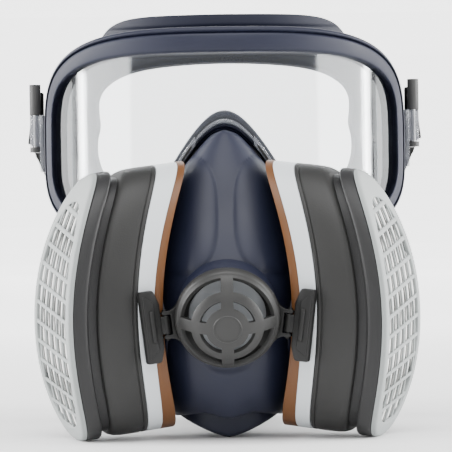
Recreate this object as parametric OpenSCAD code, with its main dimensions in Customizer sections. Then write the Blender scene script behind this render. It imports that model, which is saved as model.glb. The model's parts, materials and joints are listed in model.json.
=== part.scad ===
// Full-face respirator: goggles joined to a half mask, with two clip-in filters and a head harness.
// Units are millimetres. X is the wearer's left to right as seen from the front, Y runs back
// towards the wearer and Z is up. The origin is the chin's resting face on the middle plane.

/* [Goggles] */
// Width over the goggle frame
goggle_w = 171; // [145:1:205]
// Height of the frame's top edge above the resting face
goggle_top = 186.5; // [178:0.5:210]
// Height at which the frame is widest
goggle_mid = 130; // [122:1:138]
// Height of the frame's lowest edge
goggle_low = 86; // [80:1:92]
// Radius that the visor is curved to
lens_r = 100; // [95:1:120]
// Thickness of the visor
lens_t = 2; // [1.5:0.1:3]
// Height of the frame band beside the visor, at the sides
frame_side = 4.3; // [3.5:0.1:6]
// Height of the frame band above the visor
frame_brow = 12; // [9:0.5:14]
// Thickness of the soft face flange behind the frame
flange_t = 2.5; // [2:0.1:3.5]
// Half width of the opening for the eyes
eye_half_w = 60; // [50:1:66]

/* [Nose arch] */
// Height of the top of the nose arch
arch_top = 148; // [144:0.5:152]
// How round the top of the arch is
arch_round = 18; // [14:0.5:22]

/* [Half mask] */
// Half width of the mask body between the filters
mask_half_w = 36; // [33:0.5:36.5]
// How far the mask body stands in front of the origin
mask_front = 60; // [54:0.5:61]
// Wall of the mask body
mask_wall = 2.5; // [1.8:0.1:3]
// Thickness of the chin rest under the mask body
chin_h = 11.7; // [9:0.1:11.7]

/* [Filters] */
// Height of a filter
filter_h = 118; // [98:1:118]
// Depth of a filter from front to back
filter_d = 66; // [55:1:66]
// Radius that the filter's layers are dished to
dish_r = 128; // [115:1:160]
// Depth of the gas canister along the filter's own axis
gas_t = 29.8; // [25:0.1:36]
// Depth of the particle casing
particle_t = 7.2; // [6:0.1:10]
// Gap between the two casings
groove_t = 4; // [3:0.1:5]
// Outer radius of the filter's spigot
spigot_r = 15; // [12.5:0.1:15.5]
// Wall of the filter casings
case_wall = 2; // [1.5:0.1:2.5]

/* [Exhalation valve] */
// Radius of the valve cover
cover_r = 23; // [19:0.5:24]
// Height of the valve cover's dome
cover_h = 16; // [13:0.5:18]
// Radius of the exhalation flap
flap_r = 17; // [14:0.5:17.5]

/* [Harness] */
// Width of the elastic straps
strap_w = 25; // [20:1:25]
// Thickness of the elastic straps
strap_t = 1.4; // [1:0.1:1.8]
// Width of the neck strap
neck_w = 20; // [16:1:22]
// Radius of the buckle's hinge pin
pin_r = 1.1; // [0.8:0.1:1.3]

/* [Hidden] */

fit_gap = 0.3;      // between pieces of one body that only rest together
run_gap = 0.4;      // between pieces that move past each other
pin_gap = 0.06;     // radial, around a hinge pin
far = 260;          // longer than any cut has to be
dark_grey = [0.25, 0.25, 0.25];
navy = [0.13, 0.14, 0.22];

// ---------------------------------------------------------------- shared shapes

// A half width and a height raised to powers, so a corner can be squarer than an ellipse
function power(value, p) = sign(value) * pow(abs(value), p);

// Outline of the goggles in the front view, grown outwards by grow, with its own corner power
function goggle_outline(half_w, top, low, square_top, square_low) =
    [for (i = [0:71]) let (t = i * 5, up = sin(t) >= 0, n = up ? square_top : square_low)
        [half_w * power(cos(t), 2 / n),
         goggle_mid + (up ? top - goggle_mid : goggle_mid - low) * power(sin(t), 2 / n)]];

// Half width of the nose arch at a drop below its top
function arch_half(drop) = sqrt(0.25 * drop * drop + arch_round * drop);

// The nose arch as an outline whose top lies lower by inset
function arch_outline(inset) =
    let (drops = [for (i = [0:15]) 85 * i * i / 225], top = arch_top - inset)
    concat([for (d = drops) [arch_half(d), top - d]],
           [for (i = [15:-1:1]) [-arch_half(drops[i]), top - drops[i]]]);

module along_y(points, y1, y2)
    translate([0, y2, 0]) rotate([90, 0, 0]) linear_extrude(y2 - y1) polygon(points);

module upright(r, y) translate([0, y, -10]) cylinder(r = r, h = far, $fn = 180);

// A wall between two upright cylinders on one axis
module curved_wall(r_out, r_in, y) difference() {
    upright(r_out, y);
    upright(r_in, y);
}

module both_sides(end) mirror([end == "_left" ? 1 : 0, 0, 0]) children();

// Six times the volume inside the faces, negative when they turn clockwise seen from outside
function sum_of(list) = [for (v = list) 1] * list;
function signed_volume(points, faces) =
    sum_of([for (f = faces) cross(points[f[0]], points[f[1]]) * points[f[2]]]);

// A polyhedron whose faces are turned the way round that makes it solid
module solid(points, faces) polyhedron(points = points, convexity = 6,
    faces = signed_volume(points, faces) < 0 ? faces : [for (f = faces) [f[2], f[1], f[0]]]);

// Closed solid through a list of loops with the same number of points
module loft(loops) {
    n = len(loops[0]);
    m = len(loops);
    points = concat([for (loop = loops) for (p = loop) p], [middle(loops[0]), middle(loops[m - 1])]);
    walls = [for (k = [0:m - 2]) for (i = [0:n - 1]) let (j = (i + 1) % n)
        for (f = [[k * n + i, k * n + j, (k + 1) * n + j], [k * n + i, (k + 1) * n + j, (k + 1) * n + i]]) f];
    low = [for (i = [0:n - 1]) [m * n, (i + 1) % n, i]];
    high = [for (i = [0:n - 1]) [m * n + 1, (m - 1) * n + i, (m - 1) * n + (i + 1) % n]];
    solid(points, concat(walls, low, high));
}

function middle(loop) = [for (k = [0:2]) (max([for (p = loop) p[k]]) + min([for (p = loop) p[k]])) / 2];

// Closed ring through a list of cross-sections, the last one joined to the first
module ring(sections) {
    n = len(sections[0]);
    m = len(sections);
    faces = [for (k = [0:m - 1]) for (i = [0:n - 1]) let (j = (i + 1) % n, l = (k + 1) % m)
        for (f = [[k * n + i, k * n + j, l * n + j], [k * n + i, l * n + j, l * n + i]]) f];
    solid([for (s = sections) for (p = s) p], faces);
}

// ---------------------------------------------------------------- goggles

half_w = goggle_w / 2;
lens_front = 6;                 // the visor's front stands this far in front of the origin
lens_y = lens_r - lens_front;   // axis of the visor's curve
frame_proud = 3;                // frame in front of the visor
face_r = 86;                    // curve of the wearer's forehead and temples
face_y = face_r + 16;
flange_r = face_r + flange_t;
lens_half_w = half_w - frame_side;
lens_top = goggle_top - frame_brow;
lens_low = goggle_low + 6;
lens_grip = 2.2;                // how far the visor goes into the frame
arch_gasket = 3.9;              // width of the gasket that shows around the arch
arch_rim = 2;                   // width of the visor's own rim along the arch
brow_half_w = 54;
brow_rise = 7;
ear_z = [122, 149];             // height of the ear bracket
ear_slot_y = [46, 51];
ear_slot_z = [125, 146];
ear_tongue_gap = 0.25;

function frame_outline(grow) =
    goggle_outline(half_w + grow, goggle_top + grow, goggle_low - grow, 4, 3.4);
function lens_outline(grow) =
    goggle_outline(lens_half_w + grow, lens_top + grow, lens_low - grow, 4.6, 3.4);
function eye_outline(grow) =
    goggle_outline(eye_half_w + grow, lens_top - 6 + grow, lens_low + 12 - grow, 3, 2.6);

module goggle_frame() color(navy) difference() {
    intersection() {
        along_y(frame_outline(0), -60, 120);
        upright(lens_r + frame_proud, lens_y);
    }
    upright(flange_r + fit_gap, face_y);
    along_y(lens_outline(0), -60, 140);
    intersection() {
        along_y(lens_outline(lens_grip + fit_gap), -60, 140);
        curved_wall(lens_r + 0.15, lens_r - lens_t - 0.15, lens_y);
    }
    along_y(arch_outline(0), -60, 140);
    filter_clearance();
    for (side = [-1, 1])
        translate([side * half_w, (ear_slot_y[0] + ear_slot_y[1]) / 2, (ear_slot_z[0] + ear_slot_z[1]) / 2])
            cube([4 * frame_side, ear_slot_y[1] - ear_slot_y[0], ear_slot_z[1] - ear_slot_z[0]], center = true);
}

module goggle_face_flange() color(navy) difference() {
    intersection() {
        union() {
            along_y(frame_outline(-0.5), -20, 140);
            along_y(goggle_outline(brow_half_w, goggle_top + brow_rise, goggle_low + 20, 5, 3), -20, 140);
        }
        curved_wall(flange_r, face_r, face_y);
        translate([-far / 2, -20, 0]) cube([far, 20 + face_y, far]);
    }
    along_y(eye_outline(0), -60, 160);
    along_y(arch_outline(-fit_gap), -60, 160);
}

// Room for the filters as they slide off
module filter_clearance() for (end = ["_left", "_right"]) both_sides(end) at_port()
    along_x(-40, 60) polygon(filter_outline(-run_gap));

module visor_lens() color([0.85, 0.9, 0.92, 0.35]) difference() {
    visor_sheet();
    filter_clearance();
}

module visor_sheet() {
    difference() {
        intersection() {
            along_y(lens_outline(lens_grip), -60, 90);
            curved_wall(lens_r, lens_r - lens_t, lens_y);
        }
        along_y(arch_outline(arch_gasket + arch_rim), -60, 90);
    }
    difference() {
        intersection() {
            along_y(arch_outline(arch_gasket), -60, 30);
            curved_wall(lens_r + 2, lens_r - lens_t, lens_y);
            translate([-far / 2, -40, lens_low + 4]) cube([far, 80, 100]);
        }
        along_y(arch_outline(arch_gasket + arch_rim), -60, 90);
    }
}

module nose_gasket() color(navy) difference() {
    intersection() {
        along_y(arch_outline(0.2), -40, 50);
        curved_wall(lens_r - lens_t - fit_gap, lens_r - lens_t - 9, lens_y);
        translate([-far / 2, -40, goggle_low + 2]) cube([far, 80, 100]);
    }
    along_y(arch_outline(body_drop - fit_gap), -60, 90);
}

// ---------------------------------------------------------------- half mask

body_drop = 9.2;                // top of the mask body below the top of the arch
body_low = chin_h + fit_gap;
width_k = mask_half_w / 36;
front_k = mask_front / 58;

// One row for each height: height, half width, front, half width at the back edge, back edge
mask_rows = [
    [body_low, 24, -40, 33, 22], [20, 30, -47, 41, 24.4], [30, 33.5, -52.5, 46.5, 27],
    [42, 35.5, -56.5, 49, 28.5], [55, 36, -58, 49.5, 29], [68, 35.5, -56.5, 48, 28.5],
    [78, 33.8, -52.8, 43, 27], [88, 31.3, -47.6, 38.8, 24.5], [100, 28, -40.5, 32.3, 21],
    [110, 24.4, -34.5, 26.8, 18.5], [120, 19.8, -28.5, 20.4, 16.5], [130, 12.8, -22.5, 13, 15],
    [136, 7.0, -18.5, 7.1, 14.5], [arch_top - body_drop - 0.5, 1.6, -16.5, 1.6, 14]];
front_power = 2.4;
front_steps = 9;
flare_steps = 4;

// Half of one section, from the front to the back edge, with the wall taken off
function half_section(row, wall, back) =
    let (a = row[1] * width_k - wall, f = row[2] * front_k + wall, b = row[3] * width_k - wall, y = row[4] + back)
    concat([for (i = [0:front_steps]) let (t = 90 * i / front_steps)
               [a * power(sin(t), 2 / front_power), f * power(cos(t), 2 / front_power), row[0]]],
           [for (i = [1:flare_steps]) let (s = i / flare_steps)
               [a + (b - a) * pow(s, 1.6), y * s, row[0]]]);

function full_section(row, wall, back) =
    let (half = half_section(row, wall, back), n = len(half))
    concat(half, [for (i = [n - 1:-1:1]) [-half[i][0], half[i][1], half[i][2]]]);

function between_rows(a, b, z) = let (k = (z - a[0]) / (b[0] - a[0])) a + k * (b - a);

module mask_outside(grow = 0) loft([for (row = mask_rows) full_section(row, -grow, 0)]);

module mask_inside() {
    floor_row = between_rows(mask_rows[0], mask_rows[1], body_low + mask_wall);
    inner_rows = concat([floor_row], [for (i = [1:len(mask_rows) - 4]) mask_rows[i]],
                        [between_rows(mask_rows[10], mask_rows[11], 126)]);
    loft([for (row = inner_rows) full_section(row, mask_wall, 8)]);
}

// The exhalation valve's own frame: Z points out of the mask, forwards and down
valve_pos = [0, -mask_front - 2, 55.5];
valve_tilt = 20;
seat_wall = 2.2;
valve_bore = flap_r + 1.5;      // hole in the mask body for the valve seat
module at_valve() translate(valve_pos) rotate([90 + valve_tilt, 0, 0]) children();

// A filter's own frame: X runs outwards along the filter's axis, Z up and Y back, on the wearer's right
filter_turn = 17;               // the axis points forwards by this
filter_dip = 7;                 // and down by this
outline_low = 45;               // from the port down to the filter's lowest edge
outline_rise = filter_h / 2 - outline_low;
dish_drop = 6;                  // the deepest line of the dish below the port
particle_start = gas_t + groove_t;
particle_end = particle_start + particle_t;
low_x = particle_end - dish_r + sqrt(pow(dish_r, 2) - pow(outline_low - dish_drop, 2));
port_z = outline_low * cos(filter_dip) + low_x * sin(filter_dip);
port_pos = [mask_half_w + 1.5, -27, port_z];
module at_port() translate(port_pos) rotate([0, 0, -filter_turn]) rotate([0, filter_dip, 0]) children();

sleeve_wall = 2.4;
sleeve_in = 14;                 // how far the sleeve goes into the mask
boss_face = -3.6;               // the mask's boss stops here, clear of the dished filter
boss_r = spigot_r + pin_gap + sleeve_wall + 3;

module mask_body() color(navy) difference() {
    union() {
        mask_outside();
        at_valve() translate([0, 0, -14]) cylinder(r = valve_bore + 3.3, h = 14, $fn = 96);
        for (end = ["_left", "_right"]) both_sides(end) at_port()
            translate([-18, 0, 0]) rotate([0, 90, 0]) cylinder(r = boss_r, h = 18 + boss_face, $fn = 72);
    }
    mask_inside();
    at_valve() translate([0, 0, -40]) cylinder(r = valve_bore, h = 60, $fn = 96);
    at_valve() cylinder(r = cover_r + 2, h = 30, $fn = 96);
    for (end = ["_left", "_right"]) both_sides(end) at_port()
        translate([-24, 0, 0]) rotate([0, 90, 0])
            cylinder(r = spigot_r + pin_gap + sleeve_wall + fit_gap / 2, h = 40, $fn = 72);
}

// The seal's loop runs round the back edge of the mask body
seal_rows = [for (i = [1:len(mask_rows) - 2]) mask_rows[i]];
function seal_point(row, side) = [side * row[3] * width_k, row[4], row[0]];
function low_point(x, up) = [x * width_k, between_rows(mask_rows[0], mask_rows[1], body_low + up)[4], body_low + up];
seal_loop = concat(
    [low_point(0, 1), low_point(16, 1.6), low_point(30, 4)],
    [for (row = seal_rows) seal_point(row, 1)],
    [[0, 14.5, arch_top - body_drop - 1]],
    [for (i = [len(seal_rows) - 1:-1:0]) seal_point(seal_rows[i], -1)],
    [low_point(-30, 4), low_point(-16, 1.6)]);
seal_t = 2;

// Outward direction at a point of the loop, in the front view
function loop_out(i) =
    let (n = len(seal_loop), a = seal_loop[(i + n - 1) % n], b = seal_loop[(i + 1) % n],
         d = [b[0] - a[0], b[2] - a[2]], l = norm(d))
    [d[1] / l, 0, -d[0] / l];

// Profile of the seal: how far out and how far back each corner lies
lip_in = 9;
chin_slope = 0.3;
seal_profile = [[0, fit_gap], [1.4, 3], [0.8, 6.2], [-2.6, 8.6], [-lip_in, 8.8],
                [-lip_in, 8.8 - seal_t], [-3.4, 6.4], [-1.4, 4.6], [-1.2, 2.8], [-seal_t, fit_gap]];

module mask_face_seal() color([0.10, 0.11, 0.18])
    ring([for (i = [0:len(seal_loop) - 1])
        let (p = seal_loop[i], out = loop_out(i), narrow = p[2] > 100 ? min(1, 0.3 + abs(p[0]) / 30) : 1)
        [for (q = seal_profile) let (move = q[0] * (q[0] < 0 ? narrow : 1) * out)
            p + move + [0, q[1] + (p[2] < 34 ? chin_slope * move[2] : 0), 0]]]);

chin_rows = [[0, 14, -14, 14], [1.5, 19, -21, 16], [5, 23, -27, 17.5], [chin_h, 25, -31, 18.5]];
module chin_rest() color([0.10, 0.11, 0.18]) loft([for (row = chin_rows)
    [for (i = [0:31]) let (t = i * 11.25, y_mid = (row[2] + row[3]) / 2)
        [row[1] * width_k * power(cos(t), 0.85), y_mid + (row[3] - row[2]) / 2 * power(sin(t), 0.85),
         row[0] * chin_h / 11.7]]]);

// ---------------------------------------------------------------- exhalation valve

spoke_w = 5;
hub_r = 8.5;
cover_wall = 2;
cover_foot = 4.2;               // straight rim at the bottom of the dome
dome_r = (pow(cover_r, 2) + pow(cover_h - cover_foot, 2)) / (2 * (cover_h - cover_foot));

module exhale_seat() color(dark_grey) at_valve() {
    difference() {
        union() {
            translate([0, 0, -12]) cylinder(r = valve_bore - fit_gap / 2, h = 12.4, $fn = 96);
            translate([0, 0, 0.1]) cylinder(r = valve_bore + 2.2, h = 1.2, $fn = 96);
        }
        translate([0, 0, -13]) cylinder(r = flap_r - seat_wall, h = 20, $fn = 96);
        translate([0, 0, -2.4]) cylinder(r = flap_r + run_gap, h = 6, $fn = 96);
    }
    difference() {
        union() {
            for (turn = [0:60:120]) rotate([0, 0, turn])
                translate([-flap_r + seat_wall / 2, -0.8, -5]) cube([2 * flap_r - seat_wall, 1.6, 2.2]);
            translate([0, 0, -5]) cylinder(r = 3.4, h = 2.2, $fn = 48);
        }
        translate([0, 0, -7]) cylinder(r = 1.4, h = 8, $fn = 48);
    }
}

module exhale_flap() color([0.86, 0.88, 0.9]) at_valve() {
    translate([0, 0, -2.4 + pin_gap]) cylinder(r = flap_r, h = 0.8, $fn = 96);
    translate([0, 0, -7.6]) cylinder(r = 1.3, h = 6, $fn = 48);
}

// The dome as a shell, its slots between the spokes, and the two arms that carry the latches
module dome(shrink) intersection() {
    translate([0, 0, cover_h - dome_r]) sphere(r = dome_r - shrink, $fn = 96);
    translate([0, 0, -1]) cylinder(r = cover_r - shrink, h = cover_h + 2, $fn = 96);
}

module cover_dome() {
    at_valve() translate([0, 0, fit_gap]) {
        difference() {
            union() {
                dome(0);
                for (side = [-1, 1])
                    translate([side * (cover_r - 1.6), -3.6, 2]) cube([5.6, 12.4, 3.6], center = true);
            }
            dome(cover_wall);
            translate([0, 0, -10]) cylinder(r = cover_r + 5, h = 10, $fn = 48);
            difference() {
                translate([0, 0, cover_foot]) cylinder(r = cover_r - cover_wall, h = cover_h, $fn = 96);
                translate([-spoke_w / 2, -cover_r, 0]) cube([spoke_w, 2 * cover_r, far / 4]);
                translate([-cover_r, -spoke_w / 2, 0]) cube([2 * cover_r, spoke_w, far / 4]);
                cylinder(r = hub_r, h = far / 4, $fn = 96);
                difference() {
                    cylinder(r = cover_r * 0.66, h = far / 4, $fn = 96);
                    translate([0, 0, -1]) cylinder(r = cover_r * 0.52, h = far / 3, $fn = 96);
                }
            }
        }
    }
}

module valve_cover() color(dark_grey) difference() {
    union() {
        cover_dome();
        for (end = ["_left", "_right"]) both_sides(end) cover_arm();
    }
    for (end = ["_left", "_right"]) both_sides(end) at_latch_pin()
        cylinder(r = knuckle_r + run_gap, h = 2 * (knuckle_half + run_gap), center = true, $fn = 48);
}

// Latch: in the filter's frame it lies in front of the label band
latch_v = [-13, 19];            // lower and upper end along the filter's Z
latch_w = [1.7, 10.5];          // inner and outer end along the filter's X
latch_t = 4.4;
hinge_w = -0.6;                 // the latch's pin along the filter's X
latch_mid = (latch_v[0] + latch_v[1]) / 2;
hinge_y = -filter_d / 2 - 2.2;
knuckle_r = pin_r + 0.8;
knuckle_half = 4;
tine = 1.7;                     // thickness of the cover's fork on either side of the latch

module at_latch_pin() at_port() translate([hinge_w, hinge_y, latch_mid]) children();

module cover_arm() at_latch_pin() difference() {
    union() {
        for (z = [-knuckle_half - run_gap - tine, knuckle_half + run_gap]) translate([0, 0, z]) {
            cylinder(r = knuckle_r, h = tine, $fn = 48);
            translate([-3.4, -knuckle_r, 0]) cube([3.4, 2 * knuckle_r - 0.8, tine]);
        }
        translate([-4, -3.2, -knuckle_half - run_gap - tine])
            cube([1.6, 4.3, 2 * (knuckle_half + run_gap + tine)]);
    }
    cylinder(r = pin_r + 0.02, h = 40, center = true, $fn = 48);
}

module latch() color(dark_grey) at_latch_pin() difference() {
    union() {
        cylinder(r = knuckle_r, h = 2 * knuckle_half, center = true, $fn = 48);
        translate([0, -knuckle_r, -knuckle_half]) cube([latch_w[0] - hinge_w + 1, 2 * knuckle_r - 0.4, 2 * knuckle_half]);
        translate([latch_w[0] - hinge_w, 1.8 - latch_t, 0]) rotate([-90, 0, 0]) linear_extrude(latch_t)
            polygon([[0, -9.5], [2.1, -16], [latch_w[1] - latch_w[0], -16],
                     [latch_w[1] - latch_w[0], 16], [2.1, 16], [0, 9.5]]);
        translate([5.4, 0.6 - latch_t, -7]) cube([2.2, 2, 14]);
    }
    cylinder(r = pin_r + pin_gap, h = 40, center = true, $fn = 48);
}

module latch_pin() color([0.6, 0.6, 0.6]) at_latch_pin()
    cylinder(r = pin_r, h = 2 * knuckle_half + 5.6, center = true, $fn = 48);

// ---------------------------------------------------------------- inhalation ports

module port_sleeve() color(dark_grey) at_port() rotate([0, 90, 0]) {
    difference() {
        union() {
            translate([0, 0, -sleeve_in]) cylinder(r = spigot_r + pin_gap + sleeve_wall, h = sleeve_in - 4, $fn = 96);
            translate([0, 0, boss_face + 0.1 - 0.5]) cylinder(r = spigot_r + pin_gap + 1.2, h = 1, $fn = 96);
            translate([0, 0, -10]) cylinder(r = spigot_r + pin_gap + sleeve_wall, h = 10 + boss_face, $fn = 96);
        }
        translate([0, 0, -sleeve_in + 1.6]) cylinder(r = spigot_r + pin_gap, h = 30, $fn = 96);
        translate([0, 0, -sleeve_in - 1]) cylinder(r = spigot_r - 2.5, h = 30, $fn = 96);
    }
    difference() {
        union() {
            for (turn = [0:60:120]) rotate([0, 0, turn])
                translate([-spigot_r + 1, -0.7, -sleeve_in]) cube([2 * spigot_r - 2, 1.4, 1.6]);
            translate([0, 0, -sleeve_in]) cylinder(r = 3, h = 1.6, $fn = 48);
        }
        translate([0, 0, -sleeve_in - 1]) cylinder(r = 1.3, h = 4, $fn = 48);
    }
}

module inhale_flap() color([0.86, 0.88, 0.9]) at_port() rotate([0, 90, 0]) {
    translate([0, 0, -sleeve_in - 0.7 - pin_gap]) cylinder(r = spigot_r - 1, h = 0.7, $fn = 96);
    translate([0, 0, -sleeve_in - 0.7]) cylinder(r = 1.2, h = 4.6, $fn = 48);
}

// ---------------------------------------------------------------- filters

outline_power = 2.5;
band_w = 4.3;                   // colour band, then label, then the canister's lip
label_end = 11.3;
label_t = 0.6;
spigot_len = 8.5;
ring_inset = case_wall + 1.4;
ring_wall = 2.6;
cover_plate = 2.3;
cell = [10, 8.6];               // pitch of the cover's openings, back to front and up
bar = [1.3, 1.7];               // bars between them
grid_slant = 9;
cover_margin = 5.5;
n_pleats = 15;

function filter_outline(inset) = [for (i = [0:55]) let (t = i * 360 / 56)
    [(filter_d / 2 - inset) * power(cos(t), 2 / outline_power),
     outline_rise + (filter_h / 2 - inset) * power(sin(t), 2 / outline_power)]];

module along_x(x1, x2) translate([x1, 0, 0]) rotate([90, 0, 90]) linear_extrude(x2 - x1) children();

module filter_prism(inset) along_x(-45, 60) polygon(filter_outline(inset));

module dish(w) translate([w - dish_r, 0, -dish_drop]) rotate([90, 0, 0])
    cylinder(r = dish_r, h = 120, center = true, $fn = 360);

// A dished layer of the filter from w1 to w2 along its axis
module layer(w1, w2, inset) intersection() {
    filter_prism(inset);
    difference() {
        dish(w2);
        dish(w1);
    }
}

module gas_canister() color(dark_grey) at_port() difference() {
    union() {
        layer(0, gas_t, label_t + fit_gap);
        layer(label_end + fit_gap, gas_t, 0);
        rotate([0, 90, 0]) translate([0, 0, -spigot_len]) cylinder(r = spigot_r, h = spigot_len + 1, $fn = 96);
    }
    layer(case_wall, gas_t + 20, case_wall + label_t + fit_gap);
    rotate([0, 90, 0]) translate([0, 0, -20]) cylinder(r = spigot_r - case_wall, h = 40, $fn = 96);
}

module band(w1, w2, inset, wall) difference() {
    layer(w1, w2, inset);
    filter_prism(inset + wall);
}

module colour_band() color([0.55, 0.30, 0.12]) at_port() band(0.2, band_w, fit_gap / 3, label_t);
module info_label() color([0.86, 0.87, 0.87]) at_port() band(band_w + 0.1, label_end, fit_gap / 3, label_t);

bed_inset = case_wall + label_t + 2 * fit_gap;
bed_end = gas_t - 9;
felt_end = bed_end + 2.4;
module carbon_bed() color([0.06, 0.06, 0.06]) at_port() layer(case_wall + fit_gap, bed_end, bed_inset);
module dust_felt() color([0.9, 0.9, 0.88]) at_port() layer(bed_end + fit_gap / 3, felt_end, bed_inset);

module joint_ring() color([0.10, 0.10, 0.10]) at_port()
    band(felt_end + fit_gap / 3, particle_end - 3, bed_inset, ring_wall);

module particle_case() color(dark_grey) at_port()
    band(particle_start, particle_end, 0, bed_inset - fit_gap);

// One pleat is a V in the plane of the dish, so the pack is a zigzag of constant thickness
pleat_mid = particle_end - 2.6;
pleat_depth = 3.4;
paper_t = 0.7;
pleat_inset = bed_inset + ring_wall + fit_gap;
function pleat_line(offset) =
    let (half = filter_h / 2 - pleat_inset - 1)
    [for (i = [0:2 * n_pleats]) let (z = outline_rise - half + half * i / n_pleats, h = z + dish_drop,
                                     back = dish_r - sqrt(dish_r * dish_r - h * h))
        [pleat_mid - back + (i % 2 == 0 ? -1 : 1) * pleat_depth / 2 + offset, z]];

module pleat_pack() color([0.95, 0.95, 0.94]) at_port() intersection() {
    rotate([90, 0, 0]) linear_extrude(filter_d, center = true)
        polygon(concat(pleat_line(-paper_t), [for (i = [2 * n_pleats:-1:0]) pleat_line(0)[i]]));
    filter_prism(pleat_inset);
}

module grid_openings() intersection() {
    polygon(filter_outline(cover_margin));
    translate([0, outline_rise]) rotate(grid_slant) for (i = [-3:2]) for (k = [-7:6])
        translate([(i + 0.5) * cell[0], (k + 0.5) * cell[1]]) square(cell - bar, center = true);
}

module grid_cover() color([0.72, 0.74, 0.74]) at_port() intersection() {
    along_x(0, 60) difference() {
        polygon(filter_outline(0.3));
        grid_openings();
    }
    difference() {
        dish(particle_end + cover_plate);
        dish(particle_end + fit_gap / 3);
    }
}

// ---------------------------------------------------------------- harness

bar_r = 1.5;                    // bar that a strap is looped round
loop_r = bar_r + 0.35 + strap_t / 2;
hinge_x = half_w + 5;           // the buckle's pin stands beside the frame
ear_hinge_y = 54;
knuckle = 2.7;
strap_z = 148.3;
buckle_z = [strap_z - strap_w / 2 - 4.1, strap_z + strap_w / 2 + 3.2];
ear_knuckle_z = [buckle_z[0] + 2.8, ear_z[1]];
bar_y = 67;

module ear_bracket() color([0.85, 0.88, 0.9, 0.5]) difference() {
    union() {
        translate([half_w + 0.3, ear_slot_y[0] - 5, ear_z[0]]) cube([1.8, 15, ear_z[1] - ear_z[0]]);
        translate([half_w - frame_side + 0.4, ear_slot_y[0] + ear_tongue_gap, ear_slot_z[0] + ear_tongue_gap])
            cube([frame_side, ear_slot_y[1] - ear_slot_y[0] - 2 * ear_tongue_gap,
                  ear_slot_z[1] - ear_slot_z[0] - 2 * ear_tongue_gap]);
        translate([hinge_x, ear_hinge_y, ear_knuckle_z[0]])
            cylinder(r = knuckle, h = ear_knuckle_z[1] - ear_knuckle_z[0], $fn = 48);
        translate([half_w + 0.3, ear_hinge_y - 2.4, ear_knuckle_z[0]])
            cube([hinge_x - half_w - 0.3, 4.8, ear_knuckle_z[1] - ear_knuckle_z[0]]);
    }
    translate([hinge_x, ear_hinge_y, 100]) cylinder(r = pin_r, h = 80, $fn = 48);
}

module ear_pin() color([0.7, 0.7, 0.7])
    translate([hinge_x, ear_hinge_y, buckle_z[0] + 0.4]) cylinder(r = pin_r, h = buckle_z[1] - buckle_z[0] - 0.8, $fn = 48);

module strap_buckle() color(dark_grey) difference() {
    union() {
        translate([hinge_x, ear_hinge_y, ear_knuckle_z[1] + run_gap])
            cylinder(r = knuckle, h = buckle_z[1] - ear_knuckle_z[1] - run_gap, $fn = 48);
        translate([hinge_x, ear_hinge_y, buckle_z[0]])
            cylinder(r = knuckle, h = ear_knuckle_z[0] - buckle_z[0] - run_gap, $fn = 48);
        translate([hinge_x - bar_r, ear_hinge_y + knuckle + run_gap, buckle_z[0]])
            cube([2 * bar_r, 3, buckle_z[1] - buckle_z[0]]);
        for (z = [buckle_z[0], strap_z + strap_w / 2 + fit_gap])
            translate([hinge_x - bar_r, ear_hinge_y, z])
                cube([2 * bar_r, bar_y - ear_hinge_y, z == buckle_z[0]
                    ? min(strap_z - strap_w / 2 - fit_gap, ear_knuckle_z[0] - run_gap) - z : buckle_z[1] - z]);
        translate([hinge_x - bar_r, ear_hinge_y + knuckle + run_gap, buckle_z[0]])
            cube([2 * bar_r, bar_y - ear_hinge_y - knuckle - run_gap, strap_z - strap_w / 2 - fit_gap - buckle_z[0]]);
        translate([hinge_x - bar_r, ear_hinge_y, ear_knuckle_z[1] + run_gap])
            cube([2 * bar_r, knuckle + 2, buckle_z[1] - ear_knuckle_z[1] - run_gap]);
        translate([hinge_x, bar_y, buckle_z[0]]) cylinder(r = bar_r, h = buckle_z[1] - buckle_z[0], $fn = 48);
    }
    translate([hinge_x, ear_hinge_y, 100]) cylinder(r = pin_r + pin_gap, h = 80, $fn = 48);
}

// A strap is a flat ribbon whose width stays as upright as its run allows
function unit(v) = v / norm(v);
function run_at(path, i) = unit(path[min(i + 1, len(path) - 1)] - path[max(i - 1, 0)]);
function ribbon_ring(path, i, w, t) =
    let (run = run_at(path, i), up = unit([0, 0, 1] - run[2] * run), out = cross(run, up), p = path[i])
    [p + up * w / 2 + out * t / 2, p + up * w / 2 - out * t / 2,
     p - up * w / 2 - out * t / 2, p - up * w / 2 + out * t / 2];

module ribbon(path, w, t) loft([for (i = [0:len(path) - 1]) ribbon_ring(path, i, w, t)]);

// The end that is folded round a bar: a short tail inside, the turn, then the outer leg
function strap_fold(bar_pos, radius, tail, z) = concat(
    [for (k = [1, 0.75, 0.5, 0.25])
        [bar_pos[0] - radius + (radius - strap_t / 2 - 0.15) * k * k, bar_pos[1] + tail * k, z - 0.6 * k * k]],
    [for (a = [180:30:360]) [bar_pos[0] + radius * cos(a), bar_pos[1] + radius * sin(a), z]]);

head_back = [0, 170, 78];       // back of the head strap's loop
head_side = [hinge_x + loop_r - 1, 94, 142];
head_path = concat(
    strap_fold([hinge_x, bar_y], loop_r, 16, strap_z),
    [[hinge_x + loop_r - 0.2, 75, 147.6], [hinge_x + loop_r - 0.6, 84, 145.4]],
    [for (t = [0:6:84]) [head_side[0] * cos(t), head_side[1] + (head_back[1] - head_side[1]) * sin(t),
                        head_back[2] + (head_side[2] - head_back[2]) * pow(cos(t), 3)]],
    [[1.5, head_back[1], head_back[2]]]);
module head_strap() color([0.04, 0.04, 0.05]) ribbon(head_path, strap_w, strap_t);

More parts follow.
